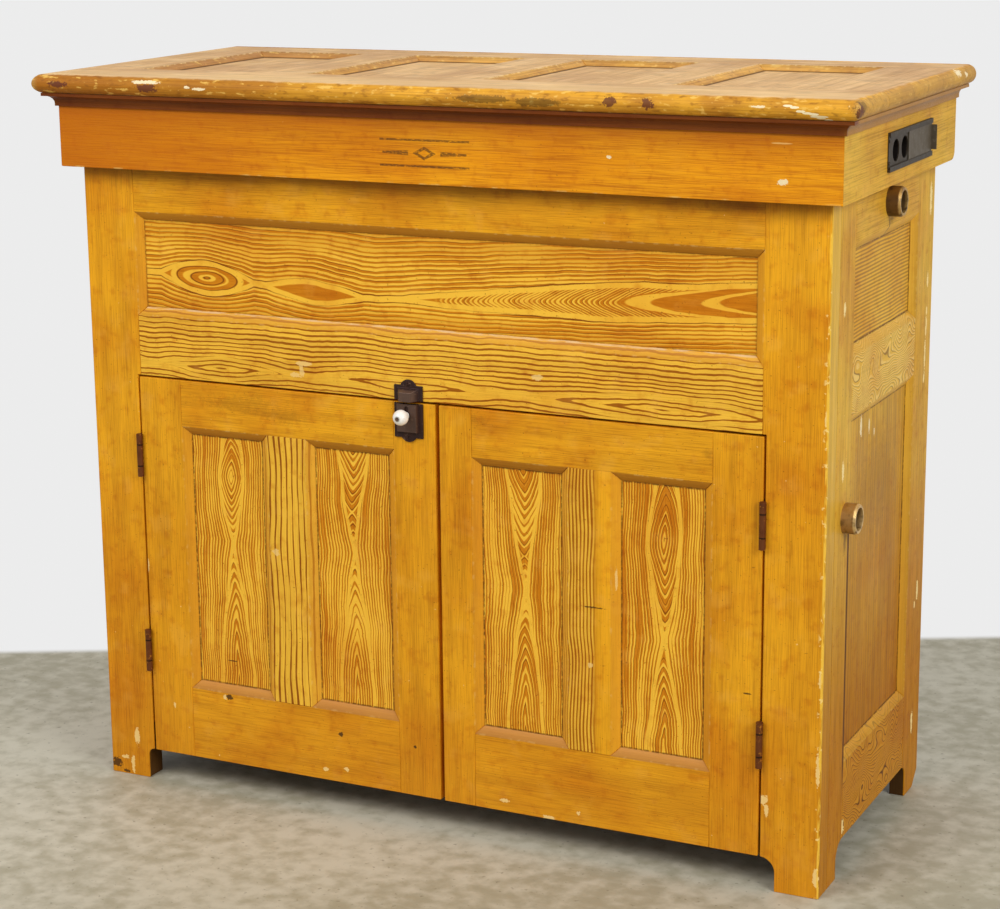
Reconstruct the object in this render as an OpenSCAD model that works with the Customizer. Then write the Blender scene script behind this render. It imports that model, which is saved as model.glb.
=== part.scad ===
// Creamery cabinet: a panelled pine case with a cold-water tank under a hooded lid
// and a two-door cupboard below. Millimetres, +Z up, and the front faces -Y.
// The origin lies on the floor, under the middle of the whole outline.

/* [Case] */
// Width over the two sides of the case
case_w = 1100; // [1090:1:1110]
// Depth of the case from its front face to its back
case_d = 455; // [450:1:458]
// Height of the whole cabinet with its lid shut
overall_h = 1040; // [1036:1:1050]
// Thickness of the front frame
front_t = 35; // [32:1:37]
// Thickness of the side frames
side_t = 22; // [20:0.5:24]
// Thickness of the back boards
back_t = 16; // [12:1:18]
// Number of back boards
back_count = 8; // [6:1:10]

/* [Frames and panels] */
// Width of the sloping reveal round every panel
reveal_w = 12.5; // [8:0.5:14]
// Depth of a panel below the face of its frame
reveal_d = 8.5; // [6:0.5:9]
// Thickness of the panels
panel_t = 8; // [6:0.5:9]
// How far a panel reaches into the groove of its frame
panel_tongue = 8; // [4:0.5:10]
// Length of the tenons
tenon_l = 36; // [20:1:44]

/* [Front frame] */
// Width of the left front stile beside its door
left_stile_w = 76.5; // [74:0.5:79]
// Width of the right front stile beside its door
right_stile_w = 80.5; // [78:0.5:83]
// How much wider both stiles are beside the long panel
stile_step = 5.5; // [3:0.5:8]
// Height of the lower edge of the middle rail
middle_rail_low = 613.5; // [610:0.5:616]
// Height of the upper edge of the middle rail
middle_rail_high = 700; // [690:1:706]
// Height of the lower edge of the top rail
top_rail_low = 848; // [842:1:852]
// Inner width of the left foot, measured from the door opening
left_foot_step = 10; // [8:0.5:12]
// Inner width of the right foot, measured from the door opening
right_foot_step = 20; // [16:0.5:22]

/* [Side frames] */
// Width of the front stile of a side
side_front_stile_w = 61; // [60:0.5:64]
// Width of the rear stile of a side
side_rear_stile_w = 77; // [74:0.5:80]
// Height of the lower edge of the bottom rail of a side
side_bottom_low = 48.5; // [44:0.5:52]
// Height of the upper edge of the bottom rail of a side
side_bottom_high = 156; // [150:1:160]
// Height of the lower edge of the middle rail of a side
side_middle_low = 624; // [620:1:628]
// Height of the upper edge of the middle rail of a side
side_middle_high = 702; // [698:1:706]
// Length of the front foot along the side
side_foot_front = 72; // [66:1:76]
// Length of the rear foot along the side
side_foot_rear = 63; // [58:1:68]

/* [Doors] */
// Thickness of the doors
door_t = 24; // [22:0.5:26]
// Height of the bottom edge of the doors
door_low = 46; // [44:0.5:50]
// Height of the top edge of the doors
door_high = 610.5; // [608:0.5:610.5]
// Gap at the hinge edge of a door
hinge_gap = 3; // [3:0.1:3.4]
// Position of the middle of the gap between the doors
meeting_x = 5; // [0:0.5:8]
// Width of the gap between the doors
meeting_gap = 6; // [5:0.5:7]
// Width of the rebate tongue on the right door, which lies in that gap
meeting_tongue = 4; // [3:0.5:4]
// Width of the stiles that carry the hinges
hinge_stile_w = 68; // [64:0.5:72]
// Width of the left door's lock stile
left_lock_stile_w = 63; // [60:0.5:66]
// Width of the right door's lock stile, beside its rebate tongue
right_lock_stile_w = 48; // [46:0.5:52]
// Width of the muntin between the two panels of a door
muntin_w = 61; // [56:0.5:64]
// Height of the upper edge of the bottom rail of a door
door_sill = 152; // [148:1:156]
// Height of the lower edge of the top rail of a door
door_head = 544; // [540:1:546]

/* [Door hinges] */
// Length of a door hinge
hinge_l = 62.5; // [60:0.5:65]
// Radius of the knuckles of a door hinge
knuckle_r = 4.5; // [4:0.1:4.6]
// Radius of the hinge pins
pin_r = 2.4; // [2:0.1:2.6]
// Radial play of a knuckle on its pin
pin_play = 0.05; // [0.03:0.01:0.08]
// Height of the middle of a door's lower hinge
lower_hinge_z = 202; // [195:1:210]
// Height of the middle of a door's upper hinge
upper_hinge_z = 496; // [490:1:505]

/* [Lid] */
// Thickness of the lid frame
lid_t = 26; // [26:0.5:28]
// Overhang of the lid nosing beyond the hood, at the front and at the sides
nosing_over = 26; // [24:1:28]
// Overhang of the lid behind the back of the case
lid_back_over = 24; // [22:1:26]
// Width of the front rail of the lid
lid_front_rail_w = 121; // [116:1:126]
// Width of the back rail of the lid
lid_back_rail_w = 80; // [76:1:86]
// Width of the two end stiles of the lid
lid_end_w = 104; // [100:1:108]
// Width of the muntins of the lid
lid_muntin_w = 88; // [84:1:92]
// Number of panels in the lid
lid_panel_count = 4; // [3:1:5]
// Gap between the shut lid and the top of the case
lid_rest_gap = 0.5; // [0.4:0.1:1]

/* [Hood] */
// Thickness of the hood boards
hood_t = 19; // [18:0.5:20]
// Height of the lower edge of the hood
hood_low = 910; // [908:1:914]
// Gap between the hood and the front of the case
hood_front_gap = 5; // [4:0.5:6]
// Gap between the hood and the sides of the case
hood_side_gap = 1; // [0.8:0.1:1.2]
// Radius of the lower rear corner of the hood sides
hood_corner_r = 13; // [8:1:16]
// Height of the cove moulding under the lid
cove_h = 19; // [18:0.5:20]
// Projection of the cove moulding
cove_out = 17; // [16:0.5:18]

/* [Air vent] */
// Length of the vent plate
vent_l = 195; // [190:1:200]
// Height of the vent plate
vent_h = 50; // [48:1:52]
// Distance of the vent plate's front end behind the face of the case
vent_front = 155; // [150:1:160]
// Radius of the air holes
air_hole_r = 14.5; // [13:0.5:15]
// Distance between the two air holes
air_hole_pitch = 39; // [36:1:40]

/* [Water pipes] */
// Outer radius of the pipes
pipe_r = 16.7; // [16:0.1:17]
// Inner radius of the pipes
pipe_bore_r = 13.3; // [12:0.1:13.5]
// Outer radius of the pipe sockets
socket_r = 20; // [19:0.1:21]
// Radius of the socket mouths
socket_bore_r = 15.2; // [14.5:0.1:16]
// Projection of the pipe sockets from the side
socket_out = 19; // [18:0.5:20]
// Height of the overflow pipe
overflow_z = 881.5; // [880:0.5:883]
// Distance of the overflow pipe behind the face of the case
overflow_y = 241; // [235:1:245]
// Height of the drain pipe's outlet
drain_z = 495; // [490:1:500]
// Distance of the drain pipe behind the face of the case
drain_y = 78; // [76:0.5:78]

/* [Tank and cupboard] */
// Thickness of the tank's zinc sheet
tank_t = 1.5; // [1.2:0.1:2]
// Height of the tank's rim
tank_rim = 915; // [910:1:920]
// Height of the underside of the deck that carries the tank
deck_low = 640; // [636:1:644]
// Thickness of the deck and the cupboard floor
deck_t = 22; // [20:1:24]
// Height of the top of the cupboard shelf
shelf_high = 330; // [320:1:340]

/* [Latch] */
// Position of the latch along the front
latch_x = -36.5; // [-38:0.5:-36]
// Width of the latch plates
latch_w = 43; // [42:0.5:44]
// Radius of the porcelain knob
knob_r = 10.7; // [10:0.1:11]
// Height of the knob with the bolt drawn
knob_z = 595; // [594:0.5:596]
// Throw of the bolt
bolt_throw = 9; // [7:0.5:9]

/* [Hidden] */
$fn = 48;

// Overlap that lets a cutter run clear of the face that it opens
past = 1;
half_w = case_w / 2;

// Lid outline and the place of the case under it
nose_front = -hood_front_gap - hood_t - nosing_over;
nose_side = half_w + hood_side_gap + hood_t + nosing_over;
lid_back = case_d + lid_back_over;
front_y = -(lid_back + nose_front) / 2;
lid_low = overall_h - lid_t;
case_top = lid_low - lid_rest_gap;

// Door openings and the edges of the doors
left_open = -half_w + left_stile_w;
right_open = half_w - right_stile_w;
left_door_edge = left_open + hinge_gap;
right_door_edge = right_open - hinge_gap;
left_meeting_edge = meeting_x - meeting_gap / 2;
right_meeting_edge = meeting_x + meeting_gap / 2;

// Sight lines of each door from left to right:
// edge, stile, muntin, muntin, stile, edge
left_door = door_lines(left_door_edge, left_door_edge + hinge_stile_w,
    left_meeting_edge - left_lock_stile_w, left_meeting_edge);
right_door = door_lines(right_meeting_edge, right_meeting_edge + right_lock_stile_w,
    right_door_edge - hinge_stile_w, right_door_edge);

// Tenons lie within the depth of the panel groove
tenon_y = reveal_d + 0.5;
tenon_t = panel_t - 1;
tenon_shoulder = 6;

// Sight edges of the long front panel and of the side frames
long_left = left_open + stile_step;
long_right = right_open - stile_step;
side_sight_front = front_t + side_front_stile_w;
side_sight_rear = case_d - side_rear_stile_w;
door_stop_t = 10;
door_stop_y = door_t + 0.5;

// Tank and inner clearances
inner_x = half_w - side_t;
back_inner = case_d - back_t;
// Room between the tank and the case at its ends, front and back
tank_end_gap = 8;
tank_front_gap = 3;
tank_back_gap = 5;
tank_half_w = inner_x - tank_end_gap;
tank_front = front_t + tank_front_gap;
tank_back = back_inner - tank_back_gap;
deck_high = deck_low + deck_t;
hem_t = 3;
hem_h = 14;
bend_r = 30;
drain_side_gap = 3;
drain_x = inner_x - bend_r - drain_side_gap;
seat_depth = 5;
overflow_reach = 8;

// Air holes
// The vent stands a little above the middle of the hood's open side
vent_rise = 2;
vent_z = (hood_low + lid_low - cove_h) / 2 + vent_rise;
// First air hole behind the vent plate's front end
air_hole_in = 32;
air_hole_y = vent_front + air_hole_in;
plate_t = 1.5;
hood_face_x = half_w + hood_side_gap + hood_t;

// Hinges
hinge_leaf_t = 1.2;
hinge_leaf_w = 22;
hinge_leaf_y = 1.4;
hinge_y = -knuckle_r - 0.2;
knuckle_gap = 0.3;
lid_hinge_l = 76;
lid_hinge_leaf_t = 2;
lid_hinge_leaf_w = 46;
lid_hinge_xs = [-420, 0, 420];
lid_hinge_y = case_d + knuckle_r + 0.7;
lid_hinge_z = lid_low - knuckle_r - 0.7;

// Latch
latch_plate_t = 2.5;
// Centre of the latch's round ends below the plate's edge, and how far each hooded block
// draws in towards its face at the top and at the sides
latch_round_drop = 4.5;
keeper_top_in = 5;
keeper_side_in = 9;
latch_case_in = 3;
latch_round_r = 12.5;
latch_block_w = 35;
latch_case_top = door_high - 0.5;
latch_low = door_high - 48;
latch_block_low = latch_low + 6;
keeper_low = middle_rail_low + 0.3;
keeper_plate_h = 21;
keeper_block_h = 18;
keeper_out = 14;
bolt_w = 13.4;
bolt_play = 0.3;
bolt_front = -6.6;
bolt_back = -0.5;
bolt_low = 576;
bolt_bevel = 2.5;
stem_r = 2.6;
stem_play = 0.5;
collar_t = 1.9;
collar_gap = 0.4;
neck_r = 5.6;
knob_y = -25;
latch_case_out = 9;

function door_lines(a, s, t, b) =
    let (mid = (s + t) / 2) [a, s, mid - muntin_w / 2, mid + muntin_w / 2, t, b];
function distinct(p) = [for (i = [0:len(p) - 1]) if (p[i] != p[(i + 1) % len(p)]) p[i]];
function backwards(v) = [for (i = [len(v) - 1:-1:0]) v[i]];

// A strip along a panel, mitred at both ends, on a level or an upright edge of a member
function level_strip(a, b, v, out) =
    let (m = sign(b - a) * reveal_w) [[a, v], [a + m, v + out], [b - m, v + out], [b, v]];
function upright_strip(a, b, u, out) =
    let (m = sign(b - a) * reveal_w) [[u, a], [u + out, a + m], [u + out, b - m], [u, b]];

// Outline of a frame member, with strips where it borders a panel
function member(u0, v0, u1, v1, below = [], right = [], above = [], left = []) =
    distinct(concat(
        [[u0, v0]], [for (o = below) each level_strip(o[0], o[1], v0, -reveal_w)],
        [[u1, v0]], [for (o = right) each upright_strip(o[0], o[1], u1, reveal_w)],
        [[u1, v1]], [for (o = backwards(above)) each level_strip(o[1], o[0], v1, reveal_w)],
        [[u0, v1]], [for (o = backwards(left)) each upright_strip(o[1], o[0], u0, -reveal_w)]
    ));

// Tenons at the two ends of a rail, and at the two ends of a muntin
function left_tenon(u, v0, v1) = [u - tenon_l, v0 + tenon_shoulder, u, v1 - tenon_shoulder];
function right_tenon(u, v0, v1) = [u, v0 + tenon_shoulder, u + tenon_l, v1 - tenon_shoulder];
function lower_tenon(u0, u1, v) = [u0 + tenon_shoulder, v - tenon_l, u1 - tenon_shoulder, v];
function upper_tenon(u0, u1, v) = [u0 + tenon_shoulder, v, u1 - tenon_shoulder, v + tenon_l];

// The next modules build frames in their own plane: u runs along X, v runs up Z,
// the face looks towards -Y and the thickness runs back along +Y.

module board(outline, t)
    translate([0, t, 0]) rotate([90, 0, 0]) linear_extrude(t) polygon(outline);

// The sloping recess over a panel, as the common part of two tapering prisms that run on
// past the face at the same slope, by a fifth of the reveal
module reveal_sink(r) {
    fore = reveal_d / 5;
    flare = reveal_w / 5;
    intersection() {
        translate([0, 0, r[1] - 2 * flare])
            linear_extrude(r[3] - r[1] + 4 * flare)
                polygon([[r[0] - flare, -fore], [r[2] + flare, -fore],
                    [r[2] - reveal_w, reveal_d], [r[0] + reveal_w, reveal_d]]);
        translate([r[0] - 2 * flare, 0, 0]) rotate([90, 0, 90])
            linear_extrude(r[2] - r[0] + 4 * flare)
                polygon([[-fore, r[1] - flare], [-fore, r[3] + flare],
                    [reveal_d, r[3] - reveal_w], [reveal_d, r[1] + reveal_w]]);
    }
}

module panel(r, tongue = panel_tongue) {
    inset = reveal_w - tongue;
    translate([r[0] + inset, reveal_d, r[1] + inset])
        cube([r[2] - r[0] - 2 * inset, panel_t, r[3] - r[1] - 2 * inset]);
}

module tenon(b, grow_u = 0, grow_v = 0)
    translate([b[0] - grow_u, tenon_y, b[1] - grow_v])
        cube([b[2] - b[0] + 2 * grow_u, tenon_t, b[3] - b[1] + 2 * grow_v]);

// A member with its reveals, panel grooves, mortises and tenons
module framed(outline, t, reveals = [], level_mortises = [], upright_mortises = [], tenons = []) {
    difference() {
        board(outline, t);
        for (r = reveals) {
            reveal_sink(r);
            panel(r, panel_tongue + past);
        }
        for (b = level_mortises) tenon(b, grow_u = past);
        for (b = upright_mortises) tenon(b, grow_v = past);
    }
    for (b = tenons) tenon(b);
}

// Opening between two feet, with rounded upper corners
module foot_opening(u0, u1, high, r0, r1, t) {
    translate([0, t + past, 0]) rotate([90, 0, 0]) linear_extrude(t + 2 * past) {
        translate([u0, -past]) square([u1 - u0, high + past - max(r0, r1)]);
        translate([u0 + r0, -past]) square([u1 - u0 - r0 - r1, high + past]);
        translate([u0, -past]) square([(u1 - u0) / 2, high + past - r0]);
        translate([u1 - (u1 - u0) / 2, -past]) square([(u1 - u0) / 2, high + past - r1]);
        translate([u0 + r0, high - r0]) circle(r0);
        translate([u1 - r1, high - r1]) circle(r1);
    }
}

// Cutter that rounds an upright edge at the origin whose solid lies towards +X and +Y
module edge_round(r, h) {
    difference() {
        translate([-past, -past, 0]) cube([r + past, r + past, h]);
        translate([r, r, -past]) cylinder(r = r, h = h + 2 * past);
    }
}

module in_place() translate([0, front_y, 0]) children();
module on_right_side() in_place() translate([half_w, 0, 0]) rotate([0, 0, 90]) children();
module on_side(side) {
    if (side > 0) on_right_side() children();
    else mirror([1, 0, 0]) on_right_side() children();
}
// Lays a frame flat, face up, with v running to the back
module on_lid() in_place() translate([0, 0, overall_h]) rotate([-90, 0, 0]) children();

// Front frame

long_reveal = [long_left, middle_rail_high, long_right, top_rail_low];
corner_r = 3;

module front_left_stile() color([0.80, 0.55, 0.17]) in_place() difference() {
    framed(member(-half_w, 0, long_left, case_top, right = [[middle_rail_high, top_rail_low]]),
        front_t, [long_reveal],
        level_mortises = [left_tenon(long_left, top_rail_low, case_top),
            left_tenon(long_left, middle_rail_low, middle_rail_high)]);
    translate([left_open, -past, -past])
        cube([2 * stile_step, front_t + 2 * past, middle_rail_low + past]);
    foot_opening(left_open - left_foot_step, 0, door_low, left_foot_step, 1, front_t);
    translate([-half_w, 0, -past]) edge_round(corner_r, case_top + 2 * past);
}

module front_right_stile() color([0.80, 0.55, 0.17]) in_place() difference() {
    framed(member(long_right, 0, half_w, case_top, left = [[middle_rail_high, top_rail_low]]),
        front_t, [long_reveal],
        level_mortises = [right_tenon(long_right, top_rail_low, case_top),
            right_tenon(long_right, middle_rail_low, middle_rail_high)]);
    translate([right_open - 2 * stile_step, -past, -past])
        cube([2 * stile_step, front_t + 2 * past, middle_rail_low + past]);
    foot_opening(0, right_open + right_foot_step, door_low, 1, right_foot_step, front_t);
    translate([half_w, 0, -past]) mirror([1, 0, 0]) edge_round(corner_r, case_top + 2 * past);
}

module front_top_rail() color([0.80, 0.55, 0.17]) in_place()
    framed(member(long_left, top_rail_low, long_right, case_top, below = [[long_left, long_right]]),
        front_t, [long_reveal],
        tenons = [left_tenon(long_left, top_rail_low, case_top),
            right_tenon(long_right, top_rail_low, case_top)]);

// The middle rail carries the stop that the doors close against
module front_middle_rail() color([0.80, 0.55, 0.17]) in_place() {
    framed(member(long_left, middle_rail_low, long_right, middle_rail_high,
            above = [[long_left, long_right]]),
        front_t, [long_reveal],
        tenons = [left_tenon(long_left, middle_rail_low, middle_rail_high),
            right_tenon(long_right, middle_rail_low, middle_rail_high)]);
    translate([left_open + past, door_stop_y, middle_rail_low - door_stop_t])
        cube([right_open - left_open - 2 * past, front_t - door_stop_y, door_stop_t]);
}

module front_panel() color([0.88, 0.62, 0.24]) in_place() panel(long_reveal);

// Side frames, drawn for the right side and mirrored for the left

side_lower_reveal = [side_sight_front, side_bottom_high, side_sight_rear, side_middle_low];
side_upper_reveal = [side_sight_front, side_middle_high, side_sight_rear, top_rail_low];
side_spans = [[side_bottom_high, side_middle_low], [side_middle_high, top_rail_low]];
front_foot_curve = 26;
rear_foot_curve = 18;
foot_cut_w = 24;
foot_cut_h = 22;
side_rails = [[side_bottom_low, side_bottom_high], [side_middle_low, side_middle_high],
    [top_rail_low, case_top]];

module side_foot_opening()
    foot_opening(side_foot_front, case_d - side_foot_rear, side_bottom_low,
        front_foot_curve, rear_foot_curve, side_t);

module side_front_stile() color([0.76, 0.60, 0.27]) difference() {
    framed(member(front_t, 0, side_sight_front, case_top, right = side_spans),
        side_t, [side_lower_reveal, side_upper_reveal],
        level_mortises = [for (s = side_rails) left_tenon(side_sight_front, s[0], s[1])]);
    side_foot_opening();
}

// The rear foot has its outer corner cut away
module side_rear_stile() color([0.76, 0.60, 0.27]) difference() {
    framed(member(side_sight_rear, 0, case_d, case_top, left = side_spans),
        side_t, [side_lower_reveal, side_upper_reveal],
        level_mortises = [for (s = side_rails) right_tenon(side_sight_rear, s[0], s[1])]);
    side_foot_opening();
    foot_cut = [[case_d - foot_cut_w, -past], [case_d + past, foot_cut_h], [case_d + past, -past]];
    translate([0, -past, 0]) board(foot_cut, side_t + 2 * past);
}

module side_rail(low, high, below = [], above = [])
    framed(member(side_sight_front, low, side_sight_rear, high, below = below, above = above),
        side_t, [side_lower_reveal, side_upper_reveal],
        tenons = [left_tenon(side_sight_front, low, high), right_tenon(side_sight_rear, low, high)]);

side_span = [[side_sight_front, side_sight_rear]];

module side_top_rail() color([0.76, 0.60, 0.27])
    side_rail(top_rail_low, case_top, below = side_span);
module side_middle_rail() color([0.76, 0.60, 0.27])
    side_rail(side_middle_low, side_middle_high, below = side_span, above = side_span);
module side_bottom_rail() color([0.76, 0.60, 0.27])
    side_rail(side_bottom_low, side_bottom_high, above = side_span);
module side_panels() color([0.76, 0.58, 0.26]) {
    panel(side_lower_reveal);
    panel(side_upper_reveal);
}

module left_front_stile() on_side(-1) side_front_stile();
module left_rear_stile() on_side(-1) side_rear_stile();
module left_top_rail() on_side(-1) side_top_rail();
module left_middle_rail() on_side(-1) side_middle_rail();
module left_bottom_rail() on_side(-1) side_bottom_rail();
module left_panels() on_side(-1) side_panels();

module right_front_stile() difference() {
    on_side(1) side_front_stile();
    in_place() pipe_hole(drain_y, drain_z);
}
module right_rear_stile() on_side(1) side_rear_stile();
module right_top_rail() difference() {
    on_side(1) side_top_rail();
    in_place() pipe_hole(overflow_y, overflow_z);
    in_place() air_holes(half_w - side_t, side_t);
}
module right_middle_rail() on_side(1) side_middle_rail();
module right_bottom_rail() on_side(1) side_bottom_rail();
module right_panels() on_side(1) side_panels();

// Back, floor, shelf and deck

back_tongue_y = 5;
back_tongue_t = 5;
back_tongue_l = 4;
back_vee = 2;
back_fit = 0.3;

// Plan outline of one back board, with a tongue, a groove and V-joint edges
function back_board(w, tongue, groove) =
    let (y = back_tongue_y, t = back_tongue_t, l = back_tongue_l) concat(
        [[0, 0], [w, 0]],
        tongue ? [[w, y], [w + l, y], [w + l, y + t], [w, y + t]] : [],
        [[w, back_t - back_vee], [w - back_vee, back_t], [back_vee, back_t],
            [0, back_t - back_vee]],
        groove ? [[0, y + t + back_fit], [l + back_fit, y + t + back_fit],
            [l + back_fit, y - back_fit], [0, y - back_fit]] : []);

module back_boards() color([0.70, 0.55, 0.34]) in_place() {
    pitch = 2 * inner_x / back_count;
    for (i = [0:back_count - 1])
        translate([-inner_x + i * pitch, back_inner, side_bottom_low])
            linear_extrude(case_top - side_bottom_low)
                polygon(back_board(pitch - back_fit, i < back_count - 1, i > 0));
}

// The front edge of the floor stands between the stiles, as a stop for the doors
module cupboard_floor() color([0.72, 0.57, 0.36]) in_place() translate([0, 0, door_low + 4]) {
    translate([-inner_x, front_t, 0]) cube([2 * inner_x, back_inner - front_t, deck_t]);
    translate([left_open + past, door_stop_y, 0])
        cube([right_open - left_open - 2 * past, front_t - door_stop_y, deck_t]);
}

// Two shelf boards on a cleat at each end
module cupboard_shelf() color([0.72, 0.57, 0.36]) in_place() {
    shelf_front = 60;
    shelf_t = 18;
    cleat_w = 20;
    cleat_h = 30;
    half_depth = (back_inner - shelf_front - 0.5) / 2;
    for (i = [0, 1])
        translate([-inner_x, shelf_front + i * (half_depth + 0.5), shelf_high - shelf_t])
            cube([2 * inner_x, half_depth, shelf_t]);
    for (side = [-1, 1])
        translate([side * (inner_x - cleat_w / 2) - cleat_w / 2, shelf_front,
                shelf_high - shelf_t - cleat_h - 0.2])
            cube([cleat_w, back_inner - shelf_front, cleat_h]);
}

module tank_deck() color([0.72, 0.57, 0.36]) in_place() difference() {
    translate([-inner_x, front_t, deck_low])
        cube([2 * inner_x, back_inner - front_t, deck_t]);
    translate([drain_x, drain_y, deck_low - past])
        cylinder(r = pipe_r + 0.5, h = deck_t + 2 * past);
}

// Tank and pipes

module tank() color([0.62, 0.64, 0.64]) in_place() difference() {
    union() {
        translate([-tank_half_w, tank_front, deck_high])
            cube([2 * tank_half_w, tank_back - tank_front, tank_rim - deck_high]);
        translate([-tank_half_w - hem_t, tank_front - hem_t + tank_t, tank_rim - hem_h])
            cube([2 * (tank_half_w + hem_t), tank_back - tank_front + 2 * (hem_t - tank_t), hem_h]);
    }
    translate([-tank_half_w + tank_t, tank_front + tank_t, deck_high + tank_t])
        cube([2 * (tank_half_w - tank_t), tank_back - tank_front - 2 * tank_t, tank_rim]);
    translate([tank_half_w - 2 * tank_t, overflow_y, overflow_z]) rotate([0, 90, 0])
        cylinder(r = pipe_r, h = 4 * tank_t);
    translate([drain_x, drain_y, deck_high - past])
        cylinder(r = pipe_r, h = 4 * tank_t);
}

module pipe_hole(y, z)
    translate([half_w - side_t - past, y, z]) rotate([0, 90, 0])
        cylinder(r = pipe_r + 0.3, h = side_t + 2 * past);

module pipe_length(h) difference() {
    cylinder(r = pipe_r, h = h);
    translate([0, 0, -past]) cylinder(r = pipe_bore_r, h = h + 2 * past);
}

module overflow_pipe() color([0.40, 0.32, 0.20]) in_place()
    translate([tank_half_w - overflow_reach, overflow_y, overflow_z]) rotate([0, 90, 0])
        pipe_length(half_w + seat_depth - tank_half_w + overflow_reach);

// The pipe that falls from the tank ends in a bend, and a nipple leads on through the side
module drain_pipe() color([0.40, 0.32, 0.20]) in_place() translate([0, drain_y, 0]) {
    translate([drain_x, 0, drain_z + bend_r])
        pipe_length(deck_high + tank_t - drain_z - bend_r);
    translate([drain_x + bend_r, 0, drain_z + bend_r]) rotate([90, 0, 0]) rotate([0, 0, 180])
        rotate_extrude(angle = 90) translate([bend_r, 0]) difference() {
            circle(pipe_r);
            circle(pipe_bore_r);
        }
}

module drain_nipple() color([0.40, 0.32, 0.20]) in_place()
    translate([drain_x + bend_r, drain_y, drain_z]) rotate([0, 90, 0])
        pipe_length(half_w + seat_depth - drain_x - bend_r);

rim_h = 3;
rim_taper = 1.6;

// A socket is seated over the pipe's end and stands on the face of the side
module socket(y, z) color([0.42, 0.31, 0.16]) in_place()
    translate([half_w, y, z]) rotate([0, 90, 0]) difference() {
        union() {
            cylinder(r = socket_r, h = socket_out - rim_h);
            translate([0, 0, socket_out - rim_h])
                cylinder(r1 = socket_r, r2 = socket_r - rim_taper, h = rim_h);
        }
        translate([0, 0, -past]) cylinder(r = pipe_r, h = seat_depth + past);
        translate([0, 0, -past]) cylinder(r = socket_bore_r, h = socket_out + 2 * past);
    }

module overflow_socket() socket(overflow_y, overflow_z);
module drain_socket() socket(drain_y, drain_z);

// Doors

door_span = [[door_sill, door_head]];
door_rails = [[door_low, door_sill], [door_head, door_high]];

function door_reveals(d) = [[d[1], door_sill, d[2], door_head], [d[3], door_sill, d[4], door_head]];
function door_muntin_tenons(d) =
    [lower_tenon(d[2], d[3], door_sill), upper_tenon(d[2], d[3], door_head)];

module door_left_stile(d) color([0.82, 0.56, 0.17]) in_place()
    framed(member(d[0], door_low, d[1], door_high, right = door_span), door_t, door_reveals(d),
        level_mortises = [for (s = door_rails) left_tenon(d[1], s[0], s[1])]);

module door_right_stile(d) color([0.82, 0.56, 0.17]) in_place()
    framed(member(d[4], door_low, d[5], door_high, left = door_span), door_t, door_reveals(d),
        level_mortises = [for (s = door_rails) right_tenon(d[4], s[0], s[1])]);

module door_rail(d, low, high, below = [], above = []) color([0.82, 0.56, 0.17]) in_place()
    framed(member(d[1], low, d[4], high, below = below, above = above), door_t, door_reveals(d),
        upright_mortises = door_muntin_tenons(d),
        tenons = [left_tenon(d[1], low, high), right_tenon(d[4], low, high)]);

module door_top_rail(d)
    door_rail(d, door_head, door_high, below = [[d[1], d[2]], [d[3], d[4]]]);
module door_bottom_rail(d)
    door_rail(d, door_low, door_sill, above = [[d[1], d[2]], [d[3], d[4]]]);

module door_muntin(d) color([0.86, 0.63, 0.25]) in_place()
    framed(member(d[2], door_sill, d[3], door_head, right = door_span, left = door_span),
        door_t, door_reveals(d), tenons = door_muntin_tenons(d));

module door_panels(d) color([0.88, 0.62, 0.24]) in_place()
    for (r = door_reveals(d)) panel(r);

module left_door_hinge_stile() door_left_stile(left_door);
module left_door_lock_stile() door_right_stile(left_door);
module left_door_top_rail() door_top_rail(left_door);
module left_door_bottom_rail() door_bottom_rail(left_door);
module left_door_muntin() door_muntin(left_door);
module left_door_panels() door_panels(left_door);
module right_door_hinge_stile() door_right_stile(right_door);
// The right lock stile has a rebate tongue that closes the view between the doors
module right_door_lock_stile() {
    door_left_stile(right_door);
    color([0.45, 0.24, 0.10]) in_place()
        translate([right_meeting_edge - meeting_tongue, door_t / 2, door_low])
            cube([meeting_tongue, door_t / 2, door_high - door_low]);
}
module right_door_top_rail() door_top_rail(right_door);
module right_door_bottom_rail() door_bottom_rail(right_door);
module right_door_muntin() door_muntin(right_door);
module right_door_panels() door_panels(right_door);

// Butt hinges: the case leaves hold the pin in the outer knuckles

// Knuckle spans along a hinge of length l: two outer knuckles and a longer middle one
function outer_knuckles(l) = [[-l / 2, -l / 4 - knuckle_gap / 2], [l / 4 + knuckle_gap / 2, l / 2]];
function inner_knuckle(l) = [-l / 4 + knuckle_gap / 2, l / 4 - knuckle_gap / 2];

// Leaf of a door hinge on its pin axis, which stands at x = 0; the leaf's plate starts at leaf_x
module door_leaf(spans, leaf_x) {
    plate_y = hinge_leaf_y - hinge_y;
    translate([leaf_x, plate_y, -hinge_l / 2]) cube([hinge_leaf_t, hinge_leaf_w, hinge_l]);
    for (s = spans) translate([0, 0, s[0]]) {
        cylinder(r = knuckle_r, h = s[1] - s[0]);
        translate([leaf_x, 0, 0]) cube([hinge_leaf_t, plate_y + past, s[1] - s[0]]);
    }
}

module case_leaf() {
    door_leaf(outer_knuckles(hinge_l), -hinge_gap / 2);
    translate([0, 0, -hinge_l / 2]) cylinder(r = pin_r, h = hinge_l);
}

module free_leaf() difference() {
    door_leaf([inner_knuckle(hinge_l)], hinge_gap / 2 - hinge_leaf_t);
    translate([0, 0, -hinge_l / 2]) cylinder(r = pin_r + pin_play, h = hinge_l);
}

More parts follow.
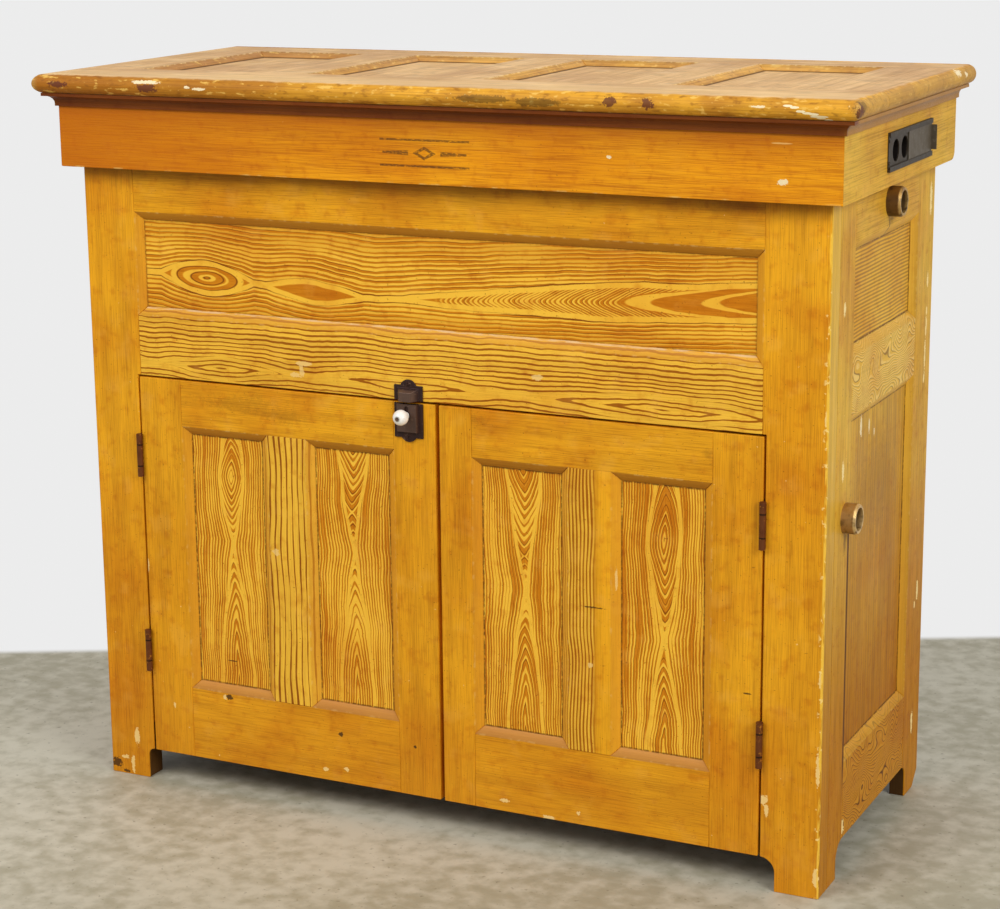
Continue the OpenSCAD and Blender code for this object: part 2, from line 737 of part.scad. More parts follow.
module at_left_hinges() in_place()
    for (z = [lower_hinge_z, upper_hinge_z])
        translate([left_open + hinge_gap / 2, hinge_y, z]) children();
module at_right_hinges() in_place()
    for (z = [lower_hinge_z, upper_hinge_z])
        translate([right_open - hinge_gap / 2, hinge_y, z]) mirror([1, 0, 0]) children();

module left_hinge_case_leaves() color([0.42, 0.25, 0.14]) at_left_hinges() case_leaf();
module left_hinge_door_leaves() color([0.42, 0.25, 0.14]) at_left_hinges() free_leaf();
module right_hinge_case_leaves() color([0.42, 0.25, 0.14]) at_right_hinges() case_leaf();
module right_hinge_door_leaves() color([0.42, 0.25, 0.14]) at_right_hinges() free_leaf();

// Lid hinges: one leaf on the back boards, the other let into the underside of the lid

module lid_knuckles(spans)
    for (s = spans) translate([s[0], 0, 0]) rotate([0, 90, 0])
        cylinder(r = knuckle_r, h = s[1] - s[0]);

module at_lid_hinges() in_place()
    for (x = lid_hinge_xs) translate([x, lid_hinge_y, lid_hinge_z]) children();

module lid_hinge_case_leaves() color([0.35, 0.26, 0.18]) at_lid_hinges() {
    outer = outer_knuckles(lid_hinge_l);
    leaf_y = case_d - lid_hinge_y;
    lid_knuckles(outer);
    translate([-lid_hinge_l / 2, leaf_y, -lid_hinge_leaf_w - knuckle_r - 1])
        cube([lid_hinge_l, lid_hinge_leaf_t, lid_hinge_leaf_w]);
    for (s = outer) translate([s[0], leaf_y, -knuckle_r - 2])
        cube([s[1] - s[0], lid_hinge_leaf_t, knuckle_r + 2]);
    translate([-lid_hinge_l / 2, 0, 0]) rotate([0, 90, 0]) cylinder(r = pin_r, h = lid_hinge_l);
}

module lid_hinge_lid_leaves() color([0.35, 0.26, 0.18]) at_lid_hinges() difference() {
    inner = inner_knuckle(lid_hinge_l);
    union() {
        lid_knuckles([inner]);
        lid_leaf_plate();
        translate([inner[0], -lid_hinge_leaf_t, 0])
            cube([inner[1] - inner[0], lid_hinge_leaf_t, lid_low - lid_hinge_z + lid_hinge_leaf_t]);
    }
    translate([-lid_hinge_l / 2, 0, 0]) rotate([0, 90, 0])
        cylinder(r = pin_r + pin_play, h = lid_hinge_l);
}

module lid_leaf_plate()
    translate([-lid_hinge_l / 2, -lid_hinge_leaf_w, lid_low - lid_hinge_z])
        cube([lid_hinge_l, lid_hinge_leaf_w, lid_hinge_leaf_t]);

// Latch: the bolt slides up out of its case into the keeper on the middle rail

// A block of width w and height h that stands forward from a face and tapers as it does
module hood_block(w, h, top_in, side_in, out) intersection() {
    linear_extrude(h)
        polygon([[-w / 2, 0], [w / 2, 0], [w / 2 - side_in, -out], [side_in - w / 2, -out]]);
    translate([-w / 2, 0, 0]) rotate([90, 0, 90]) linear_extrude(w)
        polygon([[0, 0], [0, h], [-out, h - top_in], [-out, 0]]);
}

module disc(x, z, r, t) translate([x, 0, z]) rotate([90, 0, 0]) cylinder(r = r, h = t);

module latch_keeper() color([0.16, 0.13, 0.13]) in_place() {
    play = 2 * bolt_play;
    difference() {
        union() {
            translate([latch_x - latch_w / 2, -latch_plate_t, keeper_low])
                cube([latch_w, latch_plate_t, keeper_plate_h]);
            disc(latch_x, keeper_low + keeper_plate_h - latch_round_drop, latch_round_r, latch_plate_t);
            translate([latch_x, 0, keeper_low])
                hood_block(latch_block_w, keeper_block_h, keeper_top_in, keeper_side_in,
                    keeper_out);
        }
        translate([latch_x - bolt_w / 2 - play, bolt_front - play, keeper_low - past])
            cube([bolt_w + 2 * play, play + past - bolt_front, bolt_throw]);
    }
}

module latch_case() color([0.14, 0.12, 0.12]) in_place() difference() {
    union() {
        translate([latch_x - latch_w / 2, -latch_plate_t, latch_low])
            cube([latch_w, latch_plate_t, latch_case_top - latch_low]);
        disc(latch_x, latch_block_low + 0.5, latch_round_r, latch_plate_t);
        translate([latch_x, 0, latch_case_top]) mirror([0, 0, 1])
            hood_block(latch_block_w, latch_case_top - latch_block_low, latch_case_in,
                latch_case_in, latch_case_out);
    }
    translate([latch_x - bolt_w / 2 - bolt_play, bolt_front - bolt_play, bolt_low - bolt_play])
        cube([bolt_w + 2 * bolt_play, -bolt_front + bolt_play + past, latch_case_top]);
    slot_r = stem_r + stem_play;
    for (z = [knob_z, knob_z + bolt_throw])
        translate([0, bolt_front, 0]) disc(latch_x, z, slot_r, latch_case_out);
    translate([latch_x - slot_r, bolt_front - latch_case_out, knob_z])
        cube([2 * slot_r, latch_case_out, bolt_throw]);
}

// The bolt has a nose bevelled at the front and a stem riveted over in the knob
module latch_bolt() color([0.20, 0.17, 0.16]) in_place() {
    nose = latch_case_top - 0.5;
    translate([latch_x - bolt_w / 2, 0, 0]) rotate([90, 0, 90]) linear_extrude(bolt_w)
        polygon([[bolt_back, bolt_low], [bolt_back, nose], [bolt_front + bolt_bevel, nose],
            [bolt_front, nose - bolt_bevel - past], [bolt_front, bolt_low]]);
    translate([0, bolt_front + past, 0])
        disc(latch_x, knob_z, stem_r, bolt_front + past - knob_y + knob_r + collar_gap);
    translate([0, -latch_case_out - collar_gap, 0])
        disc(latch_x, knob_z, neck_r - 0.6, collar_t);
}

module latch_knob() color([0.93, 0.92, 0.88]) in_place() translate([latch_x, knob_y, knob_z])
    rotate([90, 0, 0]) difference() {
        union() {
            sphere(knob_r);
            translate([0, 0, latch_case_out + collar_gap + collar_t + knob_y])
                cylinder(r = neck_r, h = knob_r);
        }
        translate([0, 0, knob_y]) cylinder(r = stem_r, h = 2 * -knob_y);
    }

// Lid: nosed slab, cut into its members

module nosed_slab() intersection() {
    union() {
        translate([-nose_side - past, 0, nose_front + lid_t / 2])
            cube([2 * (nose_side + past), lid_t, lid_back - nose_front - lid_t / 2]);
        translate([-nose_side - past, lid_t / 2, nose_front + lid_t / 2]) rotate([0, 90, 0])
            cylinder(r = lid_t / 2, h = 2 * (nose_side + past));
    }
    union() {
        translate([-nose_side + lid_t / 2, 0, nose_front - past])
            cube([2 * nose_side - lid_t, lid_t, lid_back - nose_front + 2 * past]);
        for (side = [-1, 1])
            translate([side * (nose_side - lid_t / 2), lid_t / 2, nose_front - past])
                cylinder(r = lid_t / 2, h = lid_back - nose_front + 2 * past);
    }
}

lid_panel_w = (2 * nose_side - 2 * lid_end_w - (lid_panel_count - 1) * lid_muntin_w)
    / lid_panel_count;
lid_v0 = nose_front + lid_front_rail_w;
lid_v1 = lid_back - lid_back_rail_w;
function lid_u(i) = -nose_side + lid_end_w + i * (lid_panel_w + lid_muntin_w);
lid_spans = [for (i = [0:lid_panel_count - 1]) [lid_u(i), lid_u(i) + lid_panel_w]];
lid_reveals = [for (s = lid_spans) [s[0], lid_v0, s[1], lid_v1]];
// Edges of the uprights between the long rails: end stile, muntins, end stile
lid_uprights = concat([[-nose_side, lid_u(0)]],
    [for (i = [1:lid_panel_count - 1]) [lid_u(i) - lid_muntin_w, lid_u(i)]],
    [[nose_side - lid_end_w, nose_side]]);
lid_tenon_in = 14;
lid_tenons = [for (s = lid_uprights) each [
    lower_tenon(s[0] + lid_tenon_in, s[1] - lid_tenon_in, lid_v0),
    upper_tenon(s[0] + lid_tenon_in, s[1] - lid_tenon_in, lid_v1)]];

module lid_front_rail() color([0.80, 0.63, 0.42]) on_lid() intersection() {
    nosed_slab();
    framed(member(-nose_side, nose_front, nose_side, lid_v0, above = lid_spans),
        lid_t, lid_reveals, upright_mortises = lid_tenons);
}

module lid_back_rail() color([0.80, 0.63, 0.42]) difference() {
    on_lid() intersection() {
        nosed_slab();
        framed(member(-nose_side, lid_v1, nose_side, lid_back, below = lid_spans),
            lid_t, lid_reveals, upright_mortises = lid_tenons);
    }
    at_lid_hinges() lid_leaf_plate();
}

module lid_upright(i, left, right)
    framed(member(lid_uprights[i][0], lid_v0, lid_uprights[i][1], lid_v1,
            left = left, right = right),
        lid_t, lid_reveals, tenons = [lid_tenons[2 * i], lid_tenons[2 * i + 1]]);

lid_depth_span = [[lid_v0, lid_v1]];

module lid_end_stiles() color([0.80, 0.63, 0.42]) on_lid() intersection() {
    nosed_slab();
    union() {
        lid_upright(0, [], lid_depth_span);
        lid_upright(lid_panel_count, lid_depth_span, []);
    }
}

module lid_muntins() color([0.80, 0.63, 0.42]) on_lid()
    for (i = [1:lid_panel_count - 1]) lid_upright(i, lid_depth_span, lid_depth_span);

module lid_panels() color([0.80, 0.61, 0.42]) on_lid()
    for (r = lid_reveals) panel(r);

// Hood under the lid: three boards mitred at the front, with a cove moulding at the top

hood_front_y = -hood_front_gap - hood_t;
hood_back_y = lid_back - 2;

// Plan of the front run and the right run of something mitred round the hood,
// from an inner line to an outer line, both measured out from the hood's face
function front_run(inner, outer) = [
    [-hood_face_x - outer, hood_front_y - outer], [hood_face_x + outer, hood_front_y - outer],
    [hood_face_x + inner, hood_front_y - inner], [-hood_face_x - inner, hood_front_y - inner]];
function side_run(inner, outer) = [
    [hood_face_x + inner, hood_front_y - inner], [hood_face_x + outer, hood_front_y - outer],
    [hood_face_x + outer, hood_back_y], [hood_face_x + inner, hood_back_y]];

module hood_front() color([0.76, 0.47, 0.12]) in_place() translate([0, 0, hood_low])
    linear_extrude(lid_low - hood_low) polygon(front_run(-hood_t, 0));

module hood_side() difference() {
    translate([0, 0, hood_low]) linear_extrude(lid_low - hood_low) polygon(side_run(-hood_t, 0));
    translate([hood_face_x - hood_t - past, hood_back_y, hood_low]) rotate([90, 0, 90])
        linear_extrude(hood_t + 2 * past) difference() {
            translate([-hood_corner_r, -past]) square([hood_corner_r + past, hood_corner_r + past]);
            translate([-hood_corner_r, hood_corner_r]) circle(hood_corner_r);
        }
}

module hood_left() color([0.76, 0.56, 0.24]) in_place() mirror([1, 0, 0]) hood_side();
module hood_right() color([0.76, 0.56, 0.24]) in_place() difference() {
    hood_side();
    air_holes(hood_face_x - hood_t, hood_t);
}

// Section of the moulding: outwards along x, up along y, with a hollow between two fillets
module cove_section() {
    fillet = 3.5;
    hollow_r = cove_out - 6;
    difference() {
        square([cove_out, cove_h]);
        translate([fillet + hollow_r, fillet]) circle(hollow_r);
        translate([fillet, -past]) square([cove_out, fillet + past]);
        translate([fillet + hollow_r, -past]) square([cove_out, fillet + hollow_r + past]);
    }
}

// The side runs stop a hair behind the mitres of the front run
module side_cove() translate([0, 0.2, 0]) intersection() {
    translate([hood_face_x, hood_front_y - 2 * cove_out, lid_low - cove_h])
        rotate([90, 0, 0]) mirror([0, 0, 1])
            linear_extrude(hood_back_y - hood_front_y + 2 * cove_out) cove_section();
    translate([0, 0, lid_low - cove_h]) linear_extrude(cove_h) polygon(side_run(0, cove_out));
}

module front_cove() intersection() {
    translate([-hood_face_x - 2 * cove_out, hood_front_y, lid_low - cove_h])
        rotate([90, 0, 90]) mirror([1, 0, 0])
            linear_extrude(2 * hood_face_x + 4 * cove_out) cove_section();
    translate([0, 0, lid_low - cove_h]) linear_extrude(cove_h) polygon(front_run(0, cove_out));
}

module cove_moulding() color([0.50, 0.25, 0.09]) in_place() {
    front_cove();
    side_cove();
    mirror([1, 0, 0]) side_cove();
}

// Air vent: a plate with two holes, and a slide held by a folded guide above and below

guide_h = 3.5;
guide_out = 2.4;
lip_t = 0.8;
lip_cover = 3;
slide_t = 1;
slide_h = vent_h - 2 * guide_h - 1;
tab_t = 1.2;
tab_out = 8;
// At rest the slide stands just behind the rear air hole
slide_y = air_hole_y + air_hole_pitch + air_hole_r + 0.5;
slide_l = vent_front + vent_l - 2 - slide_y;

module air_holes(x, t)
    for (i = [0, 1])
        translate([x - past, air_hole_y + i * air_hole_pitch, vent_z]) rotate([0, 90, 0])
            cylinder(r = air_hole_r, h = t + 2 * past);

module vent_plate() color([0.17, 0.16, 0.15]) in_place() {
    difference() {
        translate([hood_face_x, vent_front, vent_z - vent_h / 2]) cube([plate_t, vent_l, vent_h]);
        air_holes(hood_face_x, plate_t);
    }
    for (up = [-1, 1]) translate([hood_face_x + plate_t, vent_front, vent_z]) {
        translate([0, 0, up * (vent_h - guide_h) / 2 - guide_h / 2])
            cube([guide_out, vent_l, guide_h]);
        translate([guide_out - lip_t, 0, up * (vent_h - guide_h - lip_cover) / 2
                - (guide_h + lip_cover) / 2])
            cube([lip_t, vent_l, guide_h + lip_cover]);
    }
}

// The slide is a strip of sheet with its rear end turned out as a finger tab
module vent_slide() color([0.24, 0.23, 0.21]) in_place()
    translate([hood_face_x + plate_t + 0.3, slide_y, vent_z]) {
        translate([0, 0, -slide_h / 2]) cube([slide_t, slide_l, slide_h]);
        translate([0, slide_l - tab_t, -slide_h / 2 + guide_h + 1])
            cube([tab_out, tab_t, slide_h - 2 * guide_h - 2]);
    }

front_left_stile();
front_right_stile();
front_top_rail();
front_middle_rail();
front_panel();
left_front_stile();
left_rear_stile();
left_top_rail();
left_middle_rail();
left_bottom_rail();
left_panels();
right_front_stile();
right_rear_stile();
right_top_rail();
right_middle_rail();
right_bottom_rail();
right_panels();
back_boards();
cupboard_floor();
cupboard_shelf();
tank_deck();
tank();
overflow_pipe();
drain_pipe();
drain_nipple();
overflow_socket();
drain_socket();
left_door_hinge_stile();
left_door_lock_stile();
left_door_top_rail();
left_door_bottom_rail();
left_door_muntin();
left_door_panels();
right_door_hinge_stile();
right_door_lock_stile();
right_door_top_rail();
right_door_bottom_rail();
right_door_muntin();
right_door_panels();
left_hinge_case_leaves();
left_hinge_door_leaves();
right_hinge_case_leaves();
right_hinge_door_leaves();
latch_keeper();
latch_case();
latch_bolt();
latch_knob();
lid_front_rail();
lid_back_rail();
lid_end_stiles();
lid_muntins();
lid_panels();
cove_moulding();
hood_front();
hood_left();
hood_right();
vent_plate();
vent_slide();
lid_hinge_case_leaves();
lid_hinge_lid_leaves();
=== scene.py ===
"""Looks of the creamery cabinet: combed graining, wear, ironware and a plain studio stage.

Every length that a shader compares is in millimetres, and every object is in metres.
"""

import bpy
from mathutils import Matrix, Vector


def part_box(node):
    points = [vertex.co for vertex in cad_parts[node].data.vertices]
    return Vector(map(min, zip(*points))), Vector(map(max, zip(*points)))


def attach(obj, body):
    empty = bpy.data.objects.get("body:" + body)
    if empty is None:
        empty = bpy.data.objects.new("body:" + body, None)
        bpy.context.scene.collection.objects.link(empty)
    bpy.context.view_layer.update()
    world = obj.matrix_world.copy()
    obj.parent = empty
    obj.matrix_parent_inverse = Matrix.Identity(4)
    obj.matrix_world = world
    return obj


bl_info = {
    "name": "Creamery cabinet looks",
    "version": (1, 0, 0),
    "blender": (4, 5, 0),
    "location": "View3D > Sidebar > Cabinet",
    "description": "Paints the packed cabinet, adds its screws and sets a plain studio",
    "category": "Object",
}

import math

import bmesh
import bpy
from mathutils import Matrix, Vector

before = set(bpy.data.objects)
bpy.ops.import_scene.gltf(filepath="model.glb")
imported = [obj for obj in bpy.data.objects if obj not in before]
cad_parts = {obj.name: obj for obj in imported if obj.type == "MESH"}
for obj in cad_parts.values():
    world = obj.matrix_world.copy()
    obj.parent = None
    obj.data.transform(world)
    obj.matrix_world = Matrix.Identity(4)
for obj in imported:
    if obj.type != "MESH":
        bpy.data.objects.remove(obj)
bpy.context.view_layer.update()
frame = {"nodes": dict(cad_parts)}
NODES = frame["nodes"]

# The photograph's frame, which the camera's shift is worked out for
IMAGE_W, IMAGE_H = 1000, 909

# Sizes that the joinery repeats, in millimetres
REVEAL = 12.5
TONGUE = 8.0
LID_MUNTIN = 88.0
LID_PANELS = 4
DOOR_HINGE = 62.5
# Radius of the vent's air holes
HOLE = 14.5
# The plane of the front, which a hinge's knuckles stand out of
FRONT = -214.5
# The latch's plates in metres
PLATE = 0.0025
# From stroke to stroke of the long panel's comb
LONG_PITCH = 6.9


def srgb(r, g, b):
    """A colour given in 0 to 255 steps of the display, as linear red, green and blue."""
    def line(c):
        c /= 255.0
        return c / 12.92 if c <= 0.04045 else ((c + 0.055) / 1.055) ** 2.4
    return (line(r), line(g), line(b))


# The cabinet's lines, read from the frame in millimetres

def box_mm(node):
    low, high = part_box(node)
    return low * 1000.0, high * 1000.0


def grown(node, axes, by=REVEAL - TONGUE):
    """The outer edge of the reveal round a panel: its box over two axes, grown past the tongue."""
    low, high = box_mm(node)
    u, v = axes
    return (low[u] - by, low[v] - by, high[u] + by, high[v] + by)


def door_reveals(side):
    """The reveals of a door's two panels, as (x0, z0, x1, z1)."""
    x0, z0, x1, z1 = grown(side + "_door_panels", (0, 2))
    low, high = box_mm(side + "_door_muntin")
    return [(x0, z0, low[0] + REVEAL, z1), (high[0] - REVEAL, z0, x1, z1)]


def side_reveals(side):
    """The reveals of a side's two panels, as (y0, z0, y1, z1)."""
    y0, z0, y1, z1 = grown(side + "_panels", (1, 2))
    low, high = box_mm(side + "_middle_rail")
    return [(y0, z0, y1, low[2] + REVEAL), (y0, high[2] - REVEAL, y1, z1)]


def lid_reveals():
    """The reveals of the lid's panels, as (x0, y0, x1, y1)."""
    x0, y0, x1, y1 = grown("lid_panels", (0, 1))
    width = (x1 - x0 - (LID_PANELS - 1) * LID_MUNTIN) / LID_PANELS
    starts = [x0 + i * (width + LID_MUNTIN) for i in range(LID_PANELS)]
    return [(x, y0, x + width, y1) for x in starts]


def air_holes():
    """The two air holes under the vent plate, as (y, z, radius)."""
    low, high = box_mm("vent_plate")
    middle = (low[2] + high[2]) / 2
    return [(low[1] + place, middle, HOLE) for place in (32.0, 71.0)]


# Materials

class Field:
    """A number that varies over a surface: a shader socket that can be reckoned with."""

    def __init__(self, paint, socket):
        self.paint, self.socket = paint, socket

    def _math(self, operation, *others):
        return self.paint.math(operation, self, *others)

    def __add__(self, other): return self._math("ADD", other)
    def __sub__(self, other): return self._math("SUBTRACT", other)
    def __mul__(self, other): return self._math("MULTIPLY", other)
    def __truediv__(self, other): return self._math("DIVIDE", other)
    def __pow__(self, other): return self._math("POWER", other)
    def __radd__(self, other): return self._math("ADD", other)
    def __rmul__(self, other): return self._math("MULTIPLY", other)
    def __rsub__(self, other): return self.paint.math("SUBTRACT", other, self)
    def __rtruediv__(self, other): return self.paint.math("DIVIDE", other, self)
    def __neg__(self): return self._math("MULTIPLY", -1.0)
    def __abs__(self): return self._math("ABSOLUTE")
    def least(self, other): return self._math("MINIMUM", other)
    def most(self, other): return self._math("MAXIMUM", other)
    def floor(self): return self._math("FLOOR")
    def zigzag(self, half): return self._math("PINGPONG", half) / half

    def rise(self, start, end):
        """0 before start and 1 past end, smooth between; it falls if end is below start."""
        if end < start:
            return 1.0 - self.rise(end, start)
        node = self.paint.node("ShaderNodeMapRange", {"interpolation_type": "SMOOTHSTEP"},
                               {0: self, 1: start, 2: end})
        return Field(self.paint, node.outputs[0])


class Paint:
    """One node material in the making, with the surface's own place in millimetres as x, y, z."""

    def __init__(self, name, tree=None):
        self.material = None
        if tree is None:
            self.material = bpy.data.materials.new(name)
            self.material.use_nodes = True
            tree = self.material.node_tree
        self.tree = tree
        self.tree.nodes.clear()
        place = self.node("ShaderNodeTexCoord").outputs["Object"]
        parts = self.node("ShaderNodeSeparateXYZ", {}, {0: place})
        self.x, self.y, self.z = [Field(self, parts.outputs[i]) * 1000.0 for i in range(3)]

    def node(self, kind, settings=None, sockets=None):
        made = self.tree.nodes.new(kind)
        for name, value in (settings or {}).items():
            setattr(made, name, value)
        for key, value in (sockets or {}).items():
            if isinstance(value, Field):
                value = value.socket
            if isinstance(value, bpy.types.NodeSocket):
                self.tree.links.new(value, made.inputs[key])
            elif made.inputs[key].type == "RGBA":
                made.inputs[key].default_value = (*value[:3], 1.0)
            else:
                made.inputs[key].default_value = value
        return made

    def math(self, operation, *values):
        made = self.node("ShaderNodeMath", {"operation": operation}, dict(enumerate(values)))
        return Field(self, made.outputs[0])

    def vector(self, x, y, z):
        return self.node("ShaderNodeCombineXYZ", {}, {0: x, 1: y, 2: z}).outputs[0]

    def noise(self, x, y, z, detail=2.0, roughness=0.5):
        """Noise from 0 to 1 whose cells are about one unit of x, y and z across."""
        made = self.node("ShaderNodeTexNoise", {}, {
            "Vector": self.vector(x, y, z), "Scale": 1.0,
            "Detail": detail, "Roughness": roughness})
        return Field(self, made.outputs["Fac"])

    def blotches(self, size, seed=0.0, detail=3.0):
        """Noise with no direction, in cells of size millimetres."""
        return self.noise(self.x / size + seed, self.y / size, self.z / size, detail)

    def mix(self, share, first, second, blend="MIX"):
        made = self.node("ShaderNodeMix", {"data_type": "RGBA", "blend_type": blend},
                         {0: share, 6: first, 7: second})
        return made.outputs[2]

    def marks(self, places, ragged=1.5, soft=0.22):
        """1 inside each ragged oval (x, y, z, rx, ry, rz), a radius of 0 meaning any distance,
        and less over the share of its radius that is soft."""
        found = None
        edge = (self.blotches(2.2, 5.0, 3.0) + self.blotches(7.0, 8.0)) * ragged
        place = self.vector(self.x, self.y, self.z)
        for x, y, z, rx, ry, rz in places:
            off = self.node("ShaderNodeVectorMath", {"operation": "SUBTRACT"},
                            {0: place, 1: (x, y, z)}).outputs[0]
            share = tuple(1.0 / r if r else 0.0 for r in (rx, ry, rz))
            off = self.node("ShaderNodeVectorMath", {"operation": "MULTIPLY"},
                            {0: off, 1: share}).outputs[0]
            size = self.node("ShaderNodeVectorMath", {"operation": "LENGTH"}, {0: off})
            size = Field(self, size.outputs["Value"])
            found = size if found is None else found.least(size)
        return (found + edge - ragged).rise(1.08, 1.08 - soft)

    def finish(self, colour, roughness, height=None, metallic=0.0, shine=0.16, depth=0.0004):
        """Closes the material. A height in millimetres drives its bump, and shine is constant."""
        sockets = {"Base Color": colour, "Roughness": roughness, "Metallic": metallic,
                   "Specular IOR Level": shine}
        if height is not None:
            bump = self.node("ShaderNodeBump", {}, {
                "Strength": 0.55, "Distance": depth, "Height": height})
            sockets["Normal"] = bump.outputs[0]
        shader = self.node("ShaderNodeBsdfPrincipled", {}, sockets)
        self.node("ShaderNodeOutputMaterial", {}, {0: shader.outputs[0]})
        return self.material


def beyond(u, v, rect):
    """Distance from the edge of a rectangle in millimetres, negative inside it."""
    u0, v0, u1, v1 = rect
    return (abs(u - (u0 + u1) / 2) - (u1 - u0) / 2).most(abs(v - (v0 + v1) / 2) - (v1 - v0) / 2)


def nearest(u, v, rects):
    """Distance beyond the nearest of several rectangles that stand apart."""
    found = beyond(u, v, rects[0])
    for rect in rects[1:]:
        found = found.least(beyond(u, v, rect))
    return found


# Fixed tints of wear and dirt, two of which also serve as painted shade, and colours that two
# groups share
# Soot, and also the painted shadow under the hood
SOOT_AND_SHADE = srgb(70, 40, 14)
UMBER = srgb(138, 76, 6)
CHIP = srgb(240, 222, 178)
BARE = srgb(242, 204, 128)
# Grime, and also the painted shade inside the feet
GRIME_AND_SHADE = srgb(44, 30, 18)

GRAIN_AXES = {"x": 0, "y": 1, "z": 2}


def along_across(paint, axis):
    """The surface's place along the grain, and its two places across it."""
    places = [paint.x, paint.y, paint.z]
    along = places.pop(GRAIN_AXES[axis])
    return along, places[0], places[1]


def fine_grain(paint, axis, pitch=1.3, reach=60.0):
    """Short dark strokes of the finest comb, 0 to 1, running along an axis."""
    along, across, deep = along_across(paint, axis)
    strokes = paint.noise(along / reach, across / pitch, deep / pitch, 2.0, 0.6)
    bands = paint.noise(along / 260.0, across / 14.0, deep / 14.0, 3.0)
    return strokes.rise(0.42, 0.66) * 0.72 + bands.rise(0.34, 0.68) * 0.5


def aged(paint, colour, patches=0.55, worn_share=0.14):
    """The colour with clouds of old varnish, browner in places, and fly specks."""
    brown = paint.blotches(120.0, 3.0, 5.0).rise(0.46, 0.74) * patches
    colour = paint.mix(brown, colour, srgb(222, 178, 110), "MULTIPLY")
    small = paint.blotches(15.0, 21.0, 5.0).rise(0.50, 0.78) * 0.45
    colour = paint.mix(small, colour, srgb(216, 170, 110), "MULTIPLY")
    worn = paint.blotches(34.0, 27.0, 5.0).rise(0.55, 0.72) * worn_share
    colour = paint.mix(worn, colour, srgb(250, 190, 84))
    specks = paint.blotches(3.1, 33.0, 1.0).rise(0.70, 0.78) * 0.6
    return paint.mix(specks, colour, UMBER)


def in_recess(paint, colour, sunk, upper=None, lower=None, tint=srgb(216, 146, 38),
              grime=0.75):
    """Colours a reveal from the distance past its outer edge: browner with painted shade along the
    upper one, duller along the lower one, rubbed at its arris and grimy where it meets the panel."""
    slope = sunk.rise(0.6, -0.6) * sunk.rise(-REVEAL - 0.8, -REVEAL + 0.8)
    colour = paint.mix(slope * 0.50, colour, tint)
    # Painted shade: the upper reveal faces down, so it is painted browner as if in shadow
    if upper is not None:
        colour = paint.mix(slope * upper * 0.55, colour, srgb(120, 66, 14))
    if lower is not None:
        colour = paint.mix(slope * lower * 0.6, colour, srgb(186, 128, 72))
    dirt = abs(sunk + REVEAL).rise(1.9, 0.3) * paint.blotches(5.0, 7.0, 4.0).rise(0.24, 0.6)
    colour = paint.mix(dirt * grime, colour, SOOT_AND_SHADE)
    rubbed = abs(sunk + 0.6).rise(2.2, 0.3) * paint.blotches(9.0, 41.0, 5.0).rise(0.50, 0.66)
    return paint.mix(rubbed * 0.22, colour, BARE)


def chipped(paint, colour, places, tint=CHIP, strength=0.95):
    return paint.mix(paint.marks(places) * strength, colour, tint) if places else colour


def scattered_chips(paint, colour, share=0.0):
    """Pin-head chips and short nicks through the paint."""
    pits = paint.blotches(7.0, 51.0, 2.0).rise(0.78 - share, 0.81 - share)
    return paint.mix(pits * 0.8, colour, BARE)


def satin(paint, grain, low=0.34, high=0.52):
    return paint.blotches(40.0, 61.0) * (high - low) + low + grain * 0.05


# Combed figures

def figure(paint, along, across, hearts, edge, seed=0.0, sway=6.0):
    """Height lines of combed heartwood in millimetres about the line across = 0, and 1 on the
    bare border of its heart. Each heart is (place, reach, depth, power, half): from its place
    its lines rise by depth over reach each way, and it is half wide there and closes at its
    ends. Outside the heart the lines run beside it and are straight at edge."""
    wander = paint.noise(along / 80.0 + seed, seed, 0.0, 1.0) - 0.5
    across = across + wander * (2.0 * sway)
    ripple = (paint.noise(along / 15.0 + seed, across / 24.0, 0.0, 1.0) - 0.5) * 2.4
    across = abs(across)
    inner, width = None, None
    for place, reach, depth, power, half in hearts:
        out = abs(along - place) / reach
        height, wide = out ** power * depth, (1.0 - out ** 1.5) * half
        inner = height if inner is None else inner.least(height)
        width = wide if width is None else width.most(wide)
    width = width.most(0.8)
    heart = (inner ** 1.35 + (across * 1.3) ** 1.35) ** (1.0 / 1.35)
    side = across - width * (1.0 - across / edge).most(0.0)
    inside = (width - across).rise(-0.5, 0.5)
    border = abs(across - width).rise(3.2, 1.8)
    return side + (heart - side) * inside + ripple, border


def combed(paint, lines, pitch, open_share=0.43, soft=0.14, drift=0.8):
    """1 where the comb has laid the ground coat bare, in strokes of uneven width, and 1 on
    the bead of dark glaze that it pushed to one side. Drift runs some strokes together."""
    uneven = (paint.blotches(24.0, 71.0, 2.0) - 0.5) * 0.30
    stroke = (lines / pitch).floor() * 3.7
    own = (paint.noise(stroke, paint.x / 90.0, (paint.y + paint.z) / 90.0, 0.0) - 0.5) * drift
    broad = (paint.noise(lines / (pitch * 2.6), paint.x / 190.0, (paint.y + paint.z) / 190.0,
                         1.0) - 0.5) * (2.0 * drift)
    wave = (lines / pitch).zigzag(0.5) + uneven + own + broad
    bead = (lines / pitch + 0.27).zigzag(0.5) + own * 0.3
    return (wave.rise(1.0 - open_share - soft, 1.0 - open_share + soft),
            bead.rise(0.78, 0.94))


def combed_colours(paint, strokes, bead, along, across, look):
    """The glaze between the strokes, the bead beside each, and the ground coat laid bare."""
    mottled = paint.noise(along / 60.0, across / 5.0, 0.0, 2.0).rise(0.3, 0.75)
    base = paint.mix(mottled * 0.6, look.glaze, look.pale_glaze)
    fibres = paint.noise(along / 26.0, across / 0.9, 0.0, 1.0).rise(0.45, 0.8)
    base = paint.mix(fibres * 0.30, base, look.dark_grain)
    base = paint.mix(bead * 0.9, base, look.dark_grain)
    return paint.mix(strokes * 0.92, base, look.ground)


# Front frame and doors

